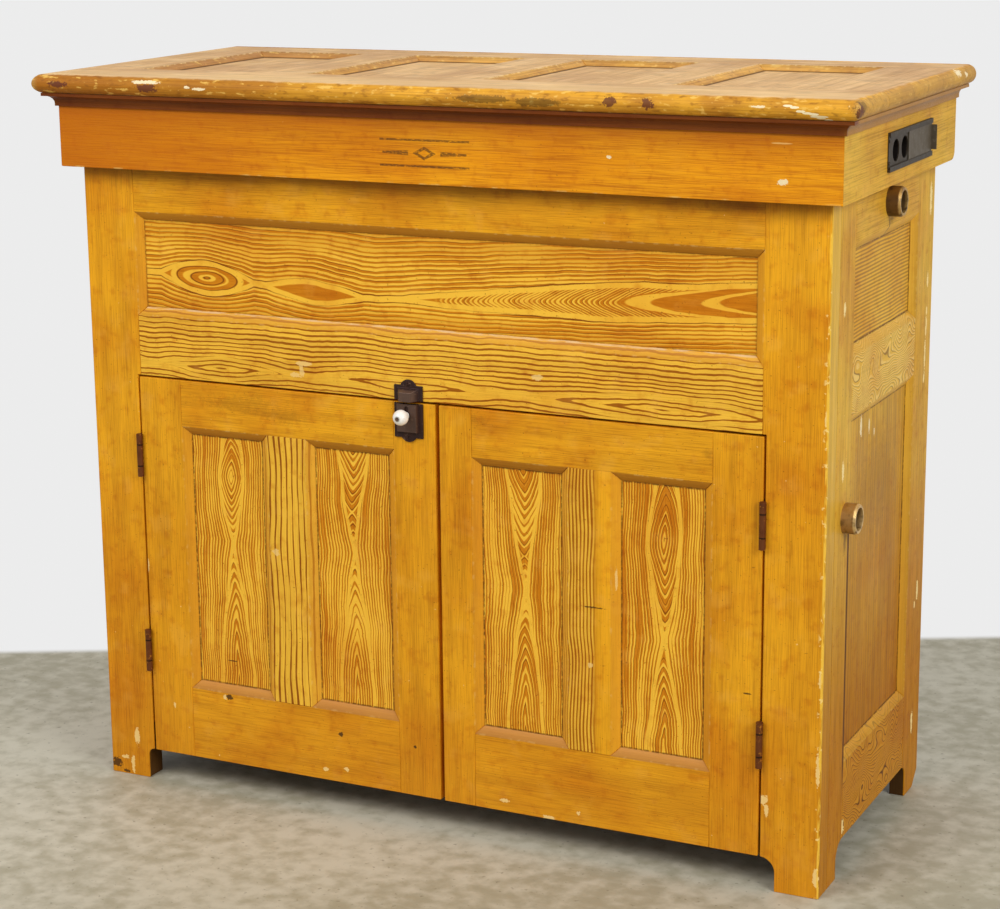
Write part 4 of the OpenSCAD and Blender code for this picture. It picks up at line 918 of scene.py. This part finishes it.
class CabinetStage(bpy.types.PropertyGroup):
    """Studio, lamps and camera"""
    key_power: bpy.props.FloatProperty(
        name="Key", description="Lamp at the front left", default=82.0, unit="POWER", min=0.0)
    fill_power: bpy.props.FloatProperty(
        name="Fill", description="Lamp at the right", default=98.0, unit="POWER", min=0.0)
    top_power: bpy.props.FloatProperty(
        name="Top", description="Lamp overhead", default=8.0, unit="POWER", min=0.0)
    surroundings: bpy.props.FloatProperty(
        name="Surroundings", description="Strength of the studio's own light", default=0.45,
        min=0.0, max=1.0, subtype="FACTOR")
    floor: colour_setting("Floor", "Pale stretches of the floor", srgb(198, 193, 174))
    floor_dark: colour_setting("Floor, darker", "Darker clouds of the floor",
                               srgb(166, 160, 137))
    backdrop: bpy.props.FloatProperty(
        name="Backdrop", description="Brightness of the studio where it is looked at",
        default=0.84, min=0.0, max=1.0, subtype="FACTOR")
    wall: length_setting("Wall", "Distance ahead of the camera where the floor turns white",
                         3.97)
    place: bpy.props.FloatVectorProperty(
        name="Camera", description="Place of the camera", default=(1.4429, -3.0215, 1.3241),
        subtype="TRANSLATION", unit="LENGTH", size=3)
    yaw: bpy.props.FloatProperty(
        name="Heading", description="Turn of the camera to the left of straight back",
        default=math.radians(26.90), unit="ROTATION")
    tilt: bpy.props.FloatProperty(
        name="Tilt", description="Turn of the camera below the level",
        default=math.radians(13.21), unit="ROTATION")
    roll: bpy.props.FloatProperty(
        name="Roll", description="Lean of the camera", default=math.radians(0.86),
        unit="ROTATION")
    focal_px: bpy.props.FloatProperty(
        name="Focal length", description="Focal length in pixels of the photograph",
        default=2412.3, min=1.0)
    axis_px: bpy.props.FloatVectorProperty(
        name="Axis", description="Pixel of the photograph that the lens points at",
        default=(446.0, 424.6), size=2)


# Stage

def look_matrix(yaw, pitch, roll):
    """The camera's turn, from its heading, its tilt down and its roll in radians."""
    ahead = Vector((-math.sin(yaw) * math.cos(pitch), math.cos(yaw) * math.cos(pitch),
                    -math.sin(pitch)))
    right = Vector((math.cos(yaw), math.sin(yaw), 0.0))
    down = ahead.cross(right)
    right, down = (math.cos(roll) * right + math.sin(roll) * down,
                   math.cos(roll) * down - math.sin(roll) * right)
    return Matrix((right, -down, -ahead)).transposed()


def set_camera(stage):
    data = bpy.data.cameras.new("camera")
    data.sensor_width = 36.0
    data.lens = stage.focal_px * data.sensor_width / IMAGE_W
    data.shift_x = (IMAGE_W / 2 - stage.axis_px[0]) / IMAGE_W
    data.shift_y = (stage.axis_px[1] - IMAGE_H / 2) / IMAGE_W
    camera = bpy.data.objects.new("camera", data)
    turn = look_matrix(stage.yaw, stage.tilt, stage.roll)
    camera.matrix_world = Matrix.Translation(stage.place) @ turn.to_4x4()
    bpy.context.scene.collection.objects.link(camera)
    bpy.context.scene.camera = camera


def add_lamp(name, place, target, size, watts):
    data = bpy.data.lights.new(name, "AREA")
    data.shape, data.size, data.energy = "SQUARE", size, watts
    lamp = bpy.data.objects.new(name, data)
    lamp.location = place
    aim = Vector(target) - Vector(place)
    lamp.rotation_euler = aim.to_track_quat("-Z", "Y").to_euler()
    bpy.context.scene.collection.objects.link(lamp)


def seen_directly(paint):
    """1 for a ray from the camera, or one that metal or glass sends on, and 0 for other light."""
    path = paint.node("ShaderNodeLightPath")
    found = Field(paint, path.outputs["Is Camera Ray"])
    for name in ("Is Glossy Ray", "Is Transmission Ray"):
        found = found.most(Field(paint, path.outputs[name]))
    return found


def set_world(strength, backdrop):
    """A pale studio: backdrop where it is looked at, and a dimmer light on everything else."""
    world = bpy.data.worlds.new("studio")
    world.use_nodes = True
    bpy.context.scene.world = world
    paint = Paint("studio", world.node_tree)
    level = seen_directly(paint) * (backdrop - strength) + strength
    shade = paint.node("ShaderNodeBackground", {}, {"Color": (1, 1, 1, 1), "Strength": level})
    paint.node("ShaderNodeOutputWorld", {}, {0: shade.outputs[0]})


def add_floor(stage, size=14.0):
    """A pale floor that turns white where the studio wall stands behind the cabinet, with
    painted shade that darkens it towards the camera.
    """
    bm = bmesh.new()
    bmesh.ops.create_grid(bm, x_segments=8, y_segments=8, size=size)
    mesh = bpy.data.meshes.new("floor")
    bm.to_mesh(mesh)
    bm.free()
    floor = bpy.data.objects.new("floor", mesh)
    bpy.context.scene.collection.objects.link(floor)
    paint = Paint("floor_paint")
    cloud = paint.blotches(420.0, 3.0, 5.0) * 0.45 + paint.blotches(30.0, 9.0, 6.0) * 0.55
    colour = paint.mix(cloud.rise(0.38, 0.62), stage.floor_dark, stage.floor)
    pits = paint.blotches(9.0, 17.0, 3.0).rise(0.62, 0.74) * 0.5
    colour = paint.mix(pits, colour, srgb(112, 104, 84))
    white = paint.node("ShaderNodeEmission", {}, {"Color": (1, 1, 1, 1),
                                                      "Strength": stage.backdrop})
    x, y = stage.place[0] * 1000.0, stage.place[1] * 1000.0
    ahead = (paint.y - y) * math.cos(stage.yaw) - (paint.x - x) * math.sin(stage.yaw)
    # Painted shade: the floor nearest the camera is darkened
    near = ahead.rise(3150.0, 2750.0)
    colour = paint.mix(near * 0.3, colour, srgb(196, 192, 180), "MULTIPLY")
    matt = paint.node("ShaderNodeBsdfPrincipled", {}, {"Base Color": colour, "Roughness": 0.55})
    wall = stage.wall * 1000.0
    behind = ahead.rise(wall - 15.0, wall + 15.0) * seen_directly(paint)
    blend = paint.node("ShaderNodeMixShader", {}, {
        0: behind, 1: matt.outputs[0], 2: white.outputs[0]})
    paint.node("ShaderNodeOutputMaterial", {}, {0: blend.outputs[0]})
    mesh.materials.append(paint.material)


# Operators, group by group

class CABINET_OT_paint_front(bpy.types.Operator):
    """Paint the front frame and its long panel"""
    bl_idname = "cabinet.paint_front"
    bl_label = "Paint the front"

    def execute(self, context):
        look = context.scene.cabinet_paint
        comb = look.comb * 1000.0
        reveals = [grown("front_panel", (0, 2))]
        hood_low = box_mm("hood_front")[0][2]
        rail_low = box_mm("front_middle_rail")[0][2]
        foot_chips = [(-526, 0, 26, 6, 0, 3), (-512, 0, 18, 3, 0, 14), (-503, 0, 62, 4, 0, 12),
                      (473, 0, 126, 7, 0, 6), (478, 0, 112, 3, 0, 8), (546, 0, 30, 4, 0, 12),
                      (547, 0, 300, 2.0, 0, 12), (546, 0, 178, 2.5, 0, 22),
                      (547, 0, 640, 1.8, 0, 8)]
        upright = plain_front("front_upright_paint", look, "z", reveals, foot_chips,
                              dents=[(-540, 0, 16, 9, 0, 8), (-524, 0, 4, 6, 0, 3)],
                              hood_shade_top=hood_low + 4, side_x=box_mm("front_right_stile")[1][0])
        smears = [(120, 0, 905, 60, 0, 6), (430, 0, 900, 80, 0, 10)]
        level = plain_front("front_level_paint", look, "x", reveals, stains=smears,
                            hood_shade_top=hood_low + 4)
        lenses = [(-560, 110, 12, 1.0, 12), (-330, 110, 16, 1.0, 15), (-40, 150, 14, 1.0, 12),
                  (330, 190, 20, 1.0, 17), (610, 90, 12, 1.0, 12)]
        rail_chips = [(-200, 0, 651, 12, 0, 3), (-203, 0, 642, 3.5, 0, 9),
                      (-213, 0, 634, 7, 0, 3), (153.5, 0, 661, 9, 0, 4)]
        middle = striped_front("front_middle_paint", look, "x", comb * 1.5, 0.66, reveals,
                               rail_chips, hearts=lenses, centre=rail_low + 30.0, seed=4.0,
                               dark=0.66)
        panel = long_panel_paint("front_panel_paint", look, reveals)
        paint_nodes(upright, "front_left_stile", "front_right_stile")
        paint_nodes(level, "front_top_rail")
        paint_nodes(middle, "front_middle_rail")
        paint_nodes(panel, "front_panel")
        soften(["front_left_stile", "front_right_stile", "front_top_rail", "front_middle_rail"],
               look.arris)
        return {"FINISHED"}


def paint_door(look, side, muntin, figures, marks):
    """Paints one door. Marks holds the chips, stains and dents of its parts by name."""
    reveals = door_reveals(side)
    stiles = [side + "_door_hinge_stile", side + "_door_lock_stile"]
    rails = [side + "_door_top_rail", side + "_door_bottom_rail"]
    paint_nodes(plain_front(side + "_door_upright_paint", look, "z", reveals,
                            **marks.get("stiles", {})), *stiles)
    paint_nodes(plain_front(side + "_door_level_paint", look, "x", reveals,
                            **marks.get("rails", {})), *rails)
    paint_nodes(muntin, side + "_door_muntin")
    paint_nodes(panel_paint(side + "_door_panel_paint", look, "front", "z", figures, reveals,
                            **marks.get("panels", {})), side + "_door_panels")
    soften(stiles + rails + [side + "_door_muntin"], look.arris)


class CABINET_OT_paint_doors(bpy.types.Operator):
    """Paint both doors, each panel with its own figure"""
    bl_idname = "cabinet.paint_doors"
    bl_label = "Paint the doors"

    def execute(self, context):
        look = context.scene.cabinet_paint
        comb = look.comb * 1000.0
        self.paint_left(look, comb)
        self.paint_right(look, comb)
        return {"FINISHED"}

    def paint_left(self, look, comb):
        reveals = door_reveals("left")
        muntin = striped_front("left_muntin_paint", look, "z", comb * 1.9, 0.76, reveals,
                               chips=[(-253, 0, 376, 5, 0, 5)], seed=3.0)
        middle = (reveals[0][2] + reveals[1][0]) / 2
        figures = [(-328.0, [(475, 97, 48, 1.0, 20), (150, 228, 52, 1.8, 28)], 60.0, 6.0,
                    middle),
                   (-131.0, [(620, 230, 100, 1.0, 31), (150, 240, 55, 1.6, 28)], 62.0, 9.0, 0.0)]
        marks = {
            "stiles": {"chips": [(-433.7, 0, 121, 2.2, 0, 4.5), (-470, 0, 330, 1.6, 0, 12)],
                       "dents": [(-37.1, 0, 118, 2.4, 0, 2.4)]},
            "rails": {"chips": [(-181.3, 0, 62, 4.5, 0, 2.5), (-146.9, 0, 67, 3.5, 0, 3.0),
                                (-347, 0, 146, 3.0, 0, 3.5)],
                      "stains": [(-300, 0, 585, 90, 0, 16), (-230, 0, 572, 40, 0, 12)],
                      "dents": [(-338.1, 0, 147, 5.0, 0, 3.5), (-155.2, 0, 119, 4, 0, 3.5)]},
            "panels": {"dents": [(-336, 0, 200, 9, 0, 0.9)]},
        }
        paint_door(look, "left", muntin, figures, marks)

    def paint_right(self, look, comb):
        reveals = door_reveals("right")
        low, high = box_mm("right_door_muntin")
        muntin = striped_front("right_muntin_paint", look, "z", comb, 0.54, reveals,
                               chips=[(264.3, 0, 398, 1.5, 0, 14), (229, 0, 276, 3.5, 0, 4)],
                               dents=[(232, 0, 356.5, 16, 0, 1.2)],
                               end=low[0] * 0.4 + high[0] * 0.6, seed=5.0, dark=0.5)
        middle = (reveals[0][2] + reveals[1][0]) / 2
        figures = [(130.0, [(600, 235, 95, 1.0, 30), (150, 215, 55, 1.6, 27)], 60.0, 12.0,
                    middle),
                   (331.0, [(458, 136, 50, 1.1, 23), (150, 172, 45, 1.6, 26)], 60.0, 15.0, 0.0)]
        marks = {
            "stiles": {"dents": [(450, 0, 268, 6, 0, 1.2)]},
            "rails": {"chips": [(101, 0, 62, 7, 0, 3), (166, 0, 48, 9, 0, 3.5),
                                (211, 0, 62, 3, 0, 3)],
                      "stains": [(393, 0, 581, 12, 0, 8), (430, 0, 571, 8, 0, 6),
                                 (60, 0, 596, 30, 0, 9)]},
        }
        paint_door(look, "right", muntin, figures, marks)


class CABINET_OT_paint_sides(bpy.types.Operator):
    """Paint both sides and the inner faces of their frames"""
    bl_idname = "cabinet.paint_sides"
    bl_label = "Paint the sides"

    def execute(self, context):
        look = context.scene.cabinet_paint
        rim = side_reveals("right")[0][0]
        right = {
            "stiles": {"stains": [(0, -136.5, 462, 0, 7, 20)], "drip": (rim - 3.0, 5.0),
                       "chips": [(0, 217.5, 746, 0, 4, 11), (0, 218, 703, 0, 3, 6),
                                 (0, 217, 680, 0, 3.5, 15), (0, 215, 640, 0, 3.5, 22),
                                 (0, 213, 608, 0, 3, 8), (0, 223, 860, 0, 5, 22),
                                 (0, 213, 300, 0, 4, 16), (0, 201, 282, 0, 3, 6),
                                 (0, 205, 105, 0, 4, 16), (0, -158, 770, 0, 4, 9),
                                 (0, -150, 560, 0, 4, 12)]},
            "curly": {"chips": [(0, -122, 66, 0, 9, 12)]},
            "top": {"stains": [(0, 26.5, 848, 0, 5, 16)]},
            "panels": {"chips": [(0, -49, 596, 0, 4, 12), (0, -13, 589, 0, 2.5, 9),
                                 (0, 10, 575, 0, 2, 6)],
                       "stains": [(0, 20, 490, 0, 120, 100)]},
        }
        for side, marks in (("left", {}), ("right", right)):
            reveals = side_reveals(side)
            paint_nodes(side_paint(side + "_side_upright_paint", look, "z", reveals,
                                   **marks.get("stiles", {})),
                        side + "_front_stile", side + "_rear_stile")
            paint_nodes(side_paint(side + "_side_level_paint", look, "y", reveals,
                                   **marks.get("top", {})), side + "_top_rail")
            paint_nodes(side_paint(side + "_side_curly_paint", look, "y", reveals, curly=True,
                                   **marks.get("curly", {})),
                        side + "_middle_rail", side + "_bottom_rail")
            paint_nodes(side_panel_paint(side + "_side_panel_paint", look, reveals,
                                         **marks.get("panels", {})),
                        side + "_panels")
            soften([side + "_" + part for part in
                    ("front_stile", "rear_stile", "top_rail", "middle_rail", "bottom_rail")],
                   look.arris)
        return {"FINISHED"}


class CABINET_OT_paint_lid(bpy.types.Operator):
    """Paint the lid, its hood and the moulding between them"""
    bl_idname = "cabinet.paint_lid"
    bl_label = "Paint the lid"

    def execute(self, context):
        look = context.scene.cabinet_paint
        reveals = lid_reveals()
        scratch = [(507 + 8 * i, 0, 1031 - 2.6 * i + 1.2 * math.sin(2.0 * i), 6, 0, 1.5)
                   for i in range(7)]
        nose = {
            "dents": [(-551.7, 0, 1027, 16, 0, 4), (-405, 0, 1026, 15, 0, 6),
                      (276.3, 0, 1029, 8, 0, 6), (326.7, 0, 1028, 8, 0, 6),
                      (594, -258, 1026, 4, 10, 9)],
            "chips": [(-319.9, 0, 1027, 9, 0, 2), (-407, 0, 1034, 22, 0, 2.5),
                      (-340, 0, 1029, 5, 0, 1.5), (590, 180, 1034, 8, 14, 5),
                      (592, 214, 1030, 6, 8, 4), (470, 0, 1029, 9, 0, 1.5)],
            "stains": [(178.7, 0, 1025, 30, 0, 6), (100, 0, 1027, 40, 0, 5),
                       (589, -250, 1030, 12, 16, 8)],
            "scratches": scratch + [(545, 0, 1019, 12, 0, 1.5)],
        }
        # Marks given no depth lie on the front nosing, and not on the reveals behind it
        ahead = box_mm("lid_front_rail")[0][1]
        nose = {kind: [mark if mark[4] else (mark[0], ahead, mark[2], mark[3], 45.0, mark[5])
                       for mark in marks] for kind, marks in nose.items()}
        paint_nodes(lid_paint("lid_level_paint", look, "x", reveals, **nose),
                    "lid_front_rail", "lid_back_rail")
        paint_nodes(lid_paint("lid_deep_paint", look, "y", reveals, nose["chips"]),
                    "lid_end_stiles", "lid_muntins", "lid_panels")
        paint_nodes(hood_paint("hood_front_paint", look,
                               chips=[(493.8, 0, 936, 6, 0, 4), (265.4, 0, 957, 3, 0, 2)],
                               scratches=[(491.7, 0, 983, 14, 0, 1.0)],
                               ornament=(5.0, 951.0)), "hood_front")
        nowhere = [(-900, -900, -800, -800)]
        paint_nodes(side_paint("hood_left_paint", look, "y", nowhere), "hood_left")
        paint_nodes(side_paint("hood_right_paint", look, "y", nowhere, holes=air_holes()),
                    "hood_right")
        paint_nodes(moulding_paint("moulding_paint", look), "cove_moulding")
        soften(["lid_end_stiles", "lid_muntins", "lid_front_rail", "lid_back_rail",
                "hood_front", "hood_left", "hood_right"], look.arris)
        return {"FINISHED"}


class CABINET_OT_paint_inside(bpy.types.Operator):
    """Give the back, shelf, floor, deck and tank their bare pine and zinc"""
    bl_idname = "cabinet.paint_inside"
    bl_label = "Finish the inside"

    def execute(self, context):
        paint_nodes(bare_pine("back_board_pine", "z", srgb(182, 136, 78)), "back_boards")
        paint_nodes(bare_pine("shelf_pine", "x", srgb(204, 158, 96),
                              box_mm("cupboard_floor")[0][2]),
                    "cupboard_floor", "cupboard_shelf", "tank_deck")
        paint_nodes(zinc("tank_zinc"), "tank")
        return {"FINISHED"}


class CABINET_OT_finish_ironware(bpy.types.Operator):
    """Give the hinges, latch, vent, pipes and knob their metal and porcelain"""
    bl_idname = "cabinet.finish_ironware"
    bl_label = "Finish the ironware"

    def execute(self, context):
        look = context.scene.cabinet_iron
        gaps = []
        low, high = box_mm("left_hinge_case_leaves")
        for middle in (low[2] + DOOR_HINGE / 2, high[2] - DOOR_HINGE / 2):
            gaps += [middle - DOOR_HINGE / 4, middle + DOOR_HINGE / 4]
        hinge = old_iron("hinge_iron", look.iron, srgb(84, 42, 18), look.residue, 0.6, gaps=gaps)
        black = old_iron("latch_iron", look.black, srgb(72, 46, 36), srgb(122, 98, 84), 0.5,
                         low=0.30, high=0.48, proud=FRONT - 4.0)
        vent = old_iron("vent_iron", look.vent, srgb(74, 52, 34), srgb(92, 84, 70), 0.3)
        slide = old_iron("slide_iron", look.slide, srgb(84, 72, 56), srgb(126, 116, 98), 0.3)
        pipe = old_iron("pipe_iron", look.pipe, srgb(92, 54, 26), srgb(140, 110, 66), 0.6)
        paint_nodes(hinge, "left_hinge_case_leaves", "left_hinge_door_leaves",
                    "right_hinge_case_leaves", "right_hinge_door_leaves",
                    "lid_hinge_case_leaves", "lid_hinge_lid_leaves")
        paint_nodes(black, "latch_keeper", "latch_case", "latch_bolt")
        paint_nodes(vent, "vent_plate")
        paint_nodes(slide, "vent_slide")
        paint_nodes(pipe, "overflow_pipe", "drain_pipe", "drain_nipple")
        for node, base, rim in (("overflow_socket", srgb(104, 78, 44), srgb(208, 168, 96)),
                                ("drain_socket", srgb(172, 136, 84), srgb(236, 200, 132))):
            low, high = box_mm(node)
            paint_nodes(socket_iron(node + "_iron", (low[2] + high[2]) / 2, base, rim), node)
        paint_nodes(porcelain("knob_porcelain"), "latch_knob")
        soften(["latch_keeper", "latch_case"], 0.0007)
        return {"FINISHED"}


class CABINET_OT_add_screws(bpy.types.Operator):
    """Add the screws of the latch, the vent plate and the lid's hinges"""
    bl_idname = "cabinet.add_screws"
    bl_label = "Add the screws"

    def execute(self, context):
        look = context.scene.cabinet_iron
        black, hinge = bpy.data.materials["latch_iron"], bpy.data.materials["hinge_iron"]
        vent = bpy.data.materials["vent_iron"]
        radius, slot = look.screw_radius, look.slot_width
        keeper_low, keeper_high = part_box("latch_keeper")
        case_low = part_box("latch_case")[0]
        x, front = (keeper_low.x + keeper_high.x) / 2, keeper_high.y - PLATE + look.sunk
        add_screws("keeper_screw", [((x, front, keeper_high.z - 0.0060), (0, -1, 0))],
                   black, "root", radius, slot)
        add_screws("latch_screw", [((x, front, case_low.z + 0.0052), (0, -1, 0))],
                   black, "left_door", radius, slot)
        vent_low, vent_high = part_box("vent_plate")
        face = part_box("hood_right")[1].x + 0.0012
        z = (vent_low.z + vent_high.z) / 2
        add_screws("vent_screws", [((face, vent_low.y + 0.003, z + dz), (1, 0, 0))
                                   for dz in (-0.014, 0.014)],
                   vent, "lid", radius * 0.8, slot)
        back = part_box("back_boards")[1].y + 0.0017
        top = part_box("back_boards")[1].z
        screws = []
        for x in (-0.420, 0.0, 0.420):
            for dx, dz in ((-0.028, -0.023), (0.028, -0.023), (-0.012, -0.041), (0.012, -0.041)):
                screws.append(((x + dx, back, top + dz), (0, 1, 0)))
        add_screws("lid_hinge_screws", screws, hinge, "root", radius * 1.2, slot)
        return {"FINISHED"}


class CABINET_OT_set_stage(bpy.types.Operator):
    """Set the studio's floor, surroundings, lamps and camera"""
    bl_idname = "cabinet.set_stage"
    bl_label = "Set the stage"

    def execute(self, context):
        stage = context.scene.cabinet_stage
        context.scene.view_settings.view_transform = "Standard"
        set_camera(stage)
        set_world(stage.surroundings, stage.backdrop)
        add_floor(stage)
        add_lamp("key", (-1.4, -3.1, 3.3), (0.0, 0.0, 0.5), 2.0, stage.key_power)
        add_lamp("fill", (3.6, -1.9, 2.6), (0.3, 0.0, 0.5), 2.0, stage.fill_power)
        add_lamp("top", (0.4, 0.6, 3.4), (0.0, 0.0, 0.6), 2.0, stage.top_power)
        return {"FINISHED"}


OPERATORS = (CABINET_OT_paint_front, CABINET_OT_paint_doors, CABINET_OT_paint_sides,
             CABINET_OT_paint_lid, CABINET_OT_paint_inside, CABINET_OT_finish_ironware,
             CABINET_OT_add_screws, CABINET_OT_set_stage)
SETTINGS = (("cabinet_paint", CabinetPaint), ("cabinet_iron", CabinetIronware),
            ("cabinet_stage", CabinetStage))


class CABINET_PT_looks(bpy.types.Panel):
    """Settings and steps of the cabinet's looks"""
    bl_idname = "CABINET_PT_looks"
    bl_label = "Creamery cabinet"
    bl_space_type = "VIEW_3D"
    bl_region_type = "UI"
    bl_category = "Cabinet"

    def draw(self, context):
        for name, group in SETTINGS:
            box = self.layout.box()
            for setting in group.__annotations__:
                box.prop(getattr(context.scene, name), setting)
        for operator in OPERATORS:
            self.layout.operator(operator.bl_idname)


def register():
    for name, group in SETTINGS:
        bpy.utils.register_class(group)
        setattr(bpy.types.Scene, name, bpy.props.PointerProperty(type=group))
    for cls in (*OPERATORS, CABINET_PT_looks):
        bpy.utils.register_class(cls)


def unregister():
    for cls in (CABINET_PT_looks, *reversed(OPERATORS)):
        bpy.utils.unregister_class(cls)
    for name, group in reversed(SETTINGS):
        delattr(bpy.types.Scene, name)
        bpy.utils.unregister_class(group)


def main():
    register()
    bpy.ops.cabinet.paint_front()
    bpy.ops.cabinet.paint_doors()
    bpy.ops.cabinet.paint_sides()
    bpy.ops.cabinet.paint_lid()
    bpy.ops.cabinet.paint_inside()
    bpy.ops.cabinet.finish_ironware()
    bpy.ops.cabinet.add_screws()
    bpy.ops.cabinet.set_stage()


if __name__ == "__main__":
    main()
